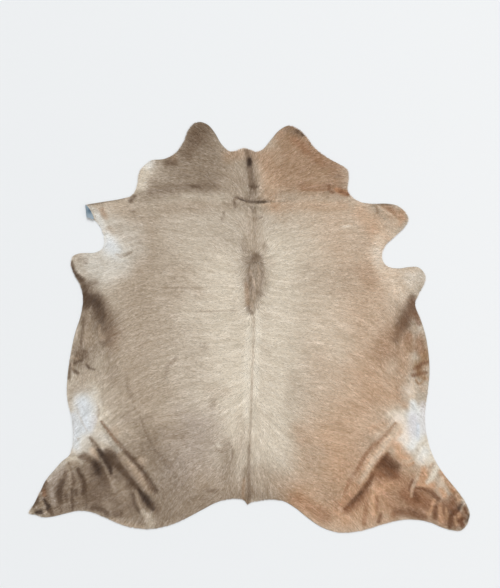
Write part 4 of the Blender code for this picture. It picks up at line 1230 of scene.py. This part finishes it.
flecks = np.where(is_short, contrast(*SHORT_FLECKS), contrast(*LONG_FLECKS))
flecks *= noise(root_x, root_y, size=0.008, seed=25)
flecks += TOE_FLECKS * toe * (noise(root_x, root_y, size=0.010, seed=26) - TOE_DARKER)
strands = contrast(*LOCK_CONTRAST) * locks + contrast(*BROAD_CONTRAST) * broad_locks
strands *= 1 - CALMER * bare
shade = 1 + strands + flecks + contrast(*HAIR_CONTRAST) * random.normal(size=count)
astray = random.uniform(-ASTRAY, ASTRAY, count)
print(f"shades from {shade.min():.2f} to {shade.max():.2f}")

# %% [markdown]
# A band is one mesh of many wisps, joined. Every corner takes the colour painted at its own spot, made lighter
# or darker by its wisp's shade, and a wisp is darker at its root than at its tip. The colour is kept as an
# attribute, which the finish reads. The chart of a band is its place on the flat skin, so nothing is
# stretched.

# %% The coat, band by band
SUNK = 0.0004  # a root starts this far inside the leather
TIP_TONE, BACK_TONE, ROOT_TONE = 1.05, 1.0, 0.88
CORNER_TONE = np.select([WISP_CORNERS[:, 0] > 0.9, WISP_CORNERS[:, 0] > 0.1], [TIP_TONE, BACK_TONE], ROOT_TONE)
DYE_LIFT = np.array((1.262, 1.270, 1.302))  # hairs darken and warm each other, so their dyes are lifted
PALER = np.array((0.93, 1.0, 1.10))  # the pale hairs are a little greyer
CHART_MARGIN = 0.01


def dyed(mesh, colour):
    """Keeps a linear colour for each corner of the mesh."""
    dye = mesh.color_attributes.new("dye", "FLOAT_COLOR", "POINT")
    dye.data.foreach_set("color", np.column_stack([colour, np.ones(len(colour))]).ravel().astype(np.float32))


def charted(mesh, flat_x, flat_y):
    """Lays the mesh's chart out as the flat skin is."""
    corner_at = np.empty(len(mesh.loops), np.int32)
    mesh.loops.foreach_get("vertex_index", corner_at)
    spread = np.stack([flat_x.ravel(), flat_y.ravel()], axis=1)[corner_at]
    low, size = spread.min(0), np.ptp(spread, axis=0)
    chart = mesh.uv_layers.new(name="OFBake")
    places = (spread - low) / size * (1 - 2 * CHART_MARGIN) + CHART_MARGIN
    chart.data.foreach_set("uv", places.ravel().astype(np.float32))


def band(name, chosen):
    """A new object with the chosen wisps, joined."""
    along = WISP_CORNERS[:, 0] * length[chosen, None]
    across = WISP_CORNERS[:, 1] * width[chosen, None]
    above = LEATHER - SUNK + WISP_CORNERS[:, 2] * height[chosen, None]
    turn_x, turn_y = np.cos(angle[chosen, None]), np.sin(angle[chosen, None])
    flat_x = root_x[chosen, None] + along * turn_x - across * turn_y
    flat_y = root_y[chosen, None] + along * turn_y + across * turn_x
    places = lay(flat_x.ravel(), flat_y.ravel(), above.ravel())
    first_corner = np.arange(len(chosen))[:, None, None] * len(WISP_CORNERS)
    mesh = bpy.data.meshes.new(name)
    mesh.from_pydata(places, [], (WISP_FACES + first_corner).reshape(-1, 3))

    drift = astray[chosen, None]
    colour = painted((flat_x + drift * turn_x).ravel(), (flat_y + drift * turn_y).ravel())
    lighter = (shade[chosen, None] * CORNER_TONE).ravel() - 1
    dyed(mesh, to_linear(colour + (colour.mean(1) * lighter)[:, None] * PALER) * DYE_LIFT)
    charted(mesh, flat_x, flat_y)
    mesh.update()
    obj = bpy.data.objects.new(name, mesh)
    bpy.context.scene.collection.objects.link(obj)
    print(name, len(mesh.polygons), "faces")
    return obj


BANDS = ("coat_shanks", "coat_rump", "coat_loins", "coat_back", "coat_shoulders", "coat_neck")
by_place = np.argsort(root_y)
coat = [band(name, part) for name, part in zip(BANDS, np.array_split(by_place, len(BANDS)))]

# %% [markdown]
# ## The skin's colour, with painted shade in the flap's fold
#
# Between the wisps the skin shows, a little darker than the hair. The flesh side is blue-grey suede, as chrome
# tanning leaves it. It shows only on the flap of the left foreleg, with painted shade deep in that fold.

# %% The skin under the coat
UNDER_COAT = 0.86  # as a share of the coat's colour
WET_BLUE = np.array((152, 167, 178))
# painted shade deep in the flap's fold: its darkest colour, then its middle and its size
FLAP_SHADE_BLUE = np.array((88, 108, 124))
FLAP_SHADE_AT, FLAP_SHADE_SIZE = (-0.795, 0.582), 0.016

where = np.empty(len(skin.data.vertices) * 3, np.float32)
skin.data.vertices.foreach_get("co", where)
where = where.reshape(-1, 3)
on_hair_side = np.arange(len(where)) >= FLESH_CORNERS
under_coat = painted(where[:, 0].astype(float), where[:, 1].astype(float)) * UNDER_COAT
from_fold = np.hypot(where[:, 0] - FLAP_SHADE_AT[0], where[:, 1] - FLAP_SHADE_AT[1])
flap_shade = np.exp(-(from_fold / FLAP_SHADE_SIZE) ** 2)[:, None]
flesh = WET_BLUE + (FLAP_SHADE_BLUE - WET_BLUE) * flap_shade
dyed(skin.data, to_linear(np.where(on_hair_side[:, None], under_coat, flesh)))
print(FLESH_CORNERS, "corners of suede and", len(where) - FLESH_CORNERS, "under the coat")

# %% [markdown]
# ## Finishes
#
# Hair has a soft sheen and a fine grain along its length, and suede is matt and fibrous. Both finishes read
# the painted colour from the mesh and vary it a little with noise. Node maths is easier to read as sums, so a
# small class wraps a socket and turns each operator into a Math node.


# %% Sums on sockets
class Wire:
    """A socket of a node. An operator on it adds the Math node that works it out."""

    def __init__(self, socket):
        self.socket = socket

    def math(self, operation, first, second):
        """A new Math node. Each of the two is a wire or a number."""
        tree = self.socket.id_data
        made = tree.nodes.new("ShaderNodeMath")
        made.operation = operation
        for place, value in zip(made.inputs, (first, second)):
            if isinstance(value, Wire):
                tree.links.new(value.socket, place)
            else:
                place.default_value = value
        return Wire(made.outputs[0])

    def __add__(self, other):
        return self.math("ADD", self, other)

    def __radd__(self, other):
        return self.math("ADD", other, self)

    def __mul__(self, other):
        return self.math("MULTIPLY", self, other)

    def __rmul__(self, other):
        return self.math("MULTIPLY", other, self)


# %% A finish and its nodes
FACTOR, COLOUR_A, COLOUR_B, RESULT = 0, 6, 7, 2  # sockets of a Mix node that mixes colours


class Finish:
    """A material and its nodes."""

    def __init__(self, name):
        self.material = bpy.data.materials.new(name)
        self.material.use_nodes = True
        self.tree = self.material.node_tree
        self.shader = self.tree.nodes["Principled BSDF"]

    def feed(self, place, value):
        """Links a wire to a socket, or sets the socket to a plain value."""
        if isinstance(value, Wire):
            self.tree.links.new(value.socket, place)
        else:
            place.default_value = value

    def node(self, kind, output, settings, sockets):
        """A new node: its settings first, then the values or links of its sockets. Returns one output."""
        made = self.tree.nodes.new(kind)
        for name, value in settings.items():
            setattr(made, name, value)
        for name, value in sockets.items():
            self.feed(made.inputs[name], value)
        return Wire(made.outputs[output])

    def dye(self):
        """The colour painted on the mesh."""
        return self.node("ShaderNodeVertexColor", "Color", {"layer_name": "dye"}, {})

    def toned(self, colour, tone):
        """A colour made lighter or darker by a number. A Math node would turn it grey, so this is a Mix."""
        grey = self.node("ShaderNodeCombineColor", "Color", {}, {"Red": tone, "Green": tone, "Blue": tone})
        multiply = {"data_type": "RGBA", "blend_type": "MULTIPLY"}
        return self.node("ShaderNodeMix", RESULT, multiply, {FACTOR: 1.0, COLOUR_A: colour, COLOUR_B: grey})

    def noise(self, scale, detail):
        """Noise fixed to the object, from 0 to 1."""
        places = self.node("ShaderNodeTexCoord", "Object", {}, {})
        sockets = {"Vector": places, "Scale": scale, "Detail": detail, "Roughness": 0.6}
        return self.node("ShaderNodeTexNoise", "Fac", {}, sockets)

    def bumped(self, height, strength, distance):
        """A normal that follows the fine relief of the height."""
        sockets = {"Height": height, "Strength": strength, "Distance": distance}
        return self.node("ShaderNodeBump", "Normal", {}, sockets)

    def set(self, sockets):
        """Feeds the sockets of the shader, by name."""
        for name, value in sockets.items():
            self.feed(self.shader.inputs[name], value)


# %% Hair
hair = Finish("cow_hair")
grain = hair.noise(scale=420.0, detail=3.0)
hair.set({
    "Base Color": hair.toned(hair.dye(), 0.90 + grain * 0.20),
    "Roughness": 0.50 + grain * 0.20,
    "Specular IOR Level": 0.35,
    "Sheen Weight": 0.08,
    "Sheen Roughness": 0.4,
})

# %% Suede
suede = Finish("suede_and_skin")
nap = suede.noise(scale=900.0, detail=4.0)
cloudy = suede.noise(scale=14.0, detail=3.0)
suede.set({
    "Base Color": suede.toned(suede.dye(), 0.80 + nap * 0.22 + cloudy * 0.18),
    "Roughness": 0.85 + nap * 0.12,
    "Specular IOR Level": 0.2,
    "Normal": suede.bumped(nap, strength=0.5, distance=0.0006),
})

for obj in coat:
    obj.data.materials.append(hair.material)
skin.data.materials.append(suede.material)
print("finishes:", hair.material.name, suede.material.name)

# %% [markdown]
# ## The floor, the light and the camera
#
# The hide lies on a wide pale floor. A bright even sky gives most of the light, a soft sun from the neck's side
# shades the lower flank of each fold, and a weak warm lamp stands on the right. The camera looks straight down.

# %% The floor
FLOOR_TONE = np.array((237, 239, 241))
FLOOR_HALF, FLOOR_DROP = 40, 0.0004

floor_bm = bmesh.new()
bmesh.ops.create_grid(floor_bm, x_segments=1, y_segments=1, size=FLOOR_HALF)
bmesh.ops.translate(floor_bm, verts=floor_bm.verts[:], vec=(0, 0, -FLOOR_DROP))
floor = finished("floor", floor_bm)
paint = Finish("pale_floor")
paint.set({"Base Color": (*to_linear(FLOOR_TONE), 1), "Roughness": 0.6})
floor.data.materials.append(paint.material)
print("the floor is", 2 * FLOOR_HALF, "m wide")

# %% The light
SKY_COLOUR, SKY_STRENGTH = (0.99, 1.0, 1.0, 1), 0.60
SUN_PLACE, SUN_STRENGTH, SUN_SPREAD = (0.8, 4.0, 4.2), 1.65, 30
LAMP_PLACE, LAMP_WATTS, LAMP_SIZE, LAMP_COLOUR = (5.0, 0.0, 3.0), 26.0, 2.5, (1.0, 0.90, 0.80)

sun = bpy.data.lights.new("neck_side_light", "SUN")
sun.energy, sun.angle = SUN_STRENGTH, np.radians(SUN_SPREAD)
lamp = bpy.data.lights.new("right_light", "AREA")
lamp.size, lamp.energy, lamp.color = LAMP_SIZE, LAMP_WATTS, LAMP_COLOUR
for light, place in ((sun, SUN_PLACE), (lamp, LAMP_PLACE)):
    obj = bpy.data.objects.new(light.name, light)
    obj.location = place
    obj.rotation_euler = Vector(place).to_track_quat("Z", "Y").to_euler()
    bpy.context.scene.collection.objects.link(obj)

world = bpy.data.worlds.new("studio")
world.use_nodes = True
sky = world.node_tree.nodes["Background"].inputs
sky["Color"].default_value, sky["Strength"].default_value = SKY_COLOUR, SKY_STRENGTH
bpy.context.scene.world = world
bpy.context.scene.view_settings.view_transform = "Standard"
print("the light comes from", world.name, sun.name, lamp.name)

# %% The camera
METRES_PER_PIXEL, PIXELS_HIGH = 0.005, 588
VIEW_MIDDLE = (0.003, 0.166)
LENS, SENSOR = 50.0, 36.0
FARTHEST = 60
camera_data = bpy.data.cameras.new("camera")
camera_data.lens, camera_data.sensor_width, camera_data.clip_end = LENS, SENSOR, FARTHEST
camera = bpy.data.objects.new("camera", camera_data)
camera.location = (*VIEW_MIDDLE, PIXELS_HIGH * METRES_PER_PIXEL * LENS / SENSOR)
bpy.context.scene.collection.objects.link(camera)
bpy.context.scene.camera = camera
print(f"the camera is {camera.location.z:.2f} m up")

# %% [markdown]
# ## Joining the pieces to the model
#
# The skin stands for the imported solid, which is hidden. The skin and the coat ride on the same body.

# %% Pieces and bodies
for piece in (skin, *coat):
    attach(piece, "root")
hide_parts("hide")
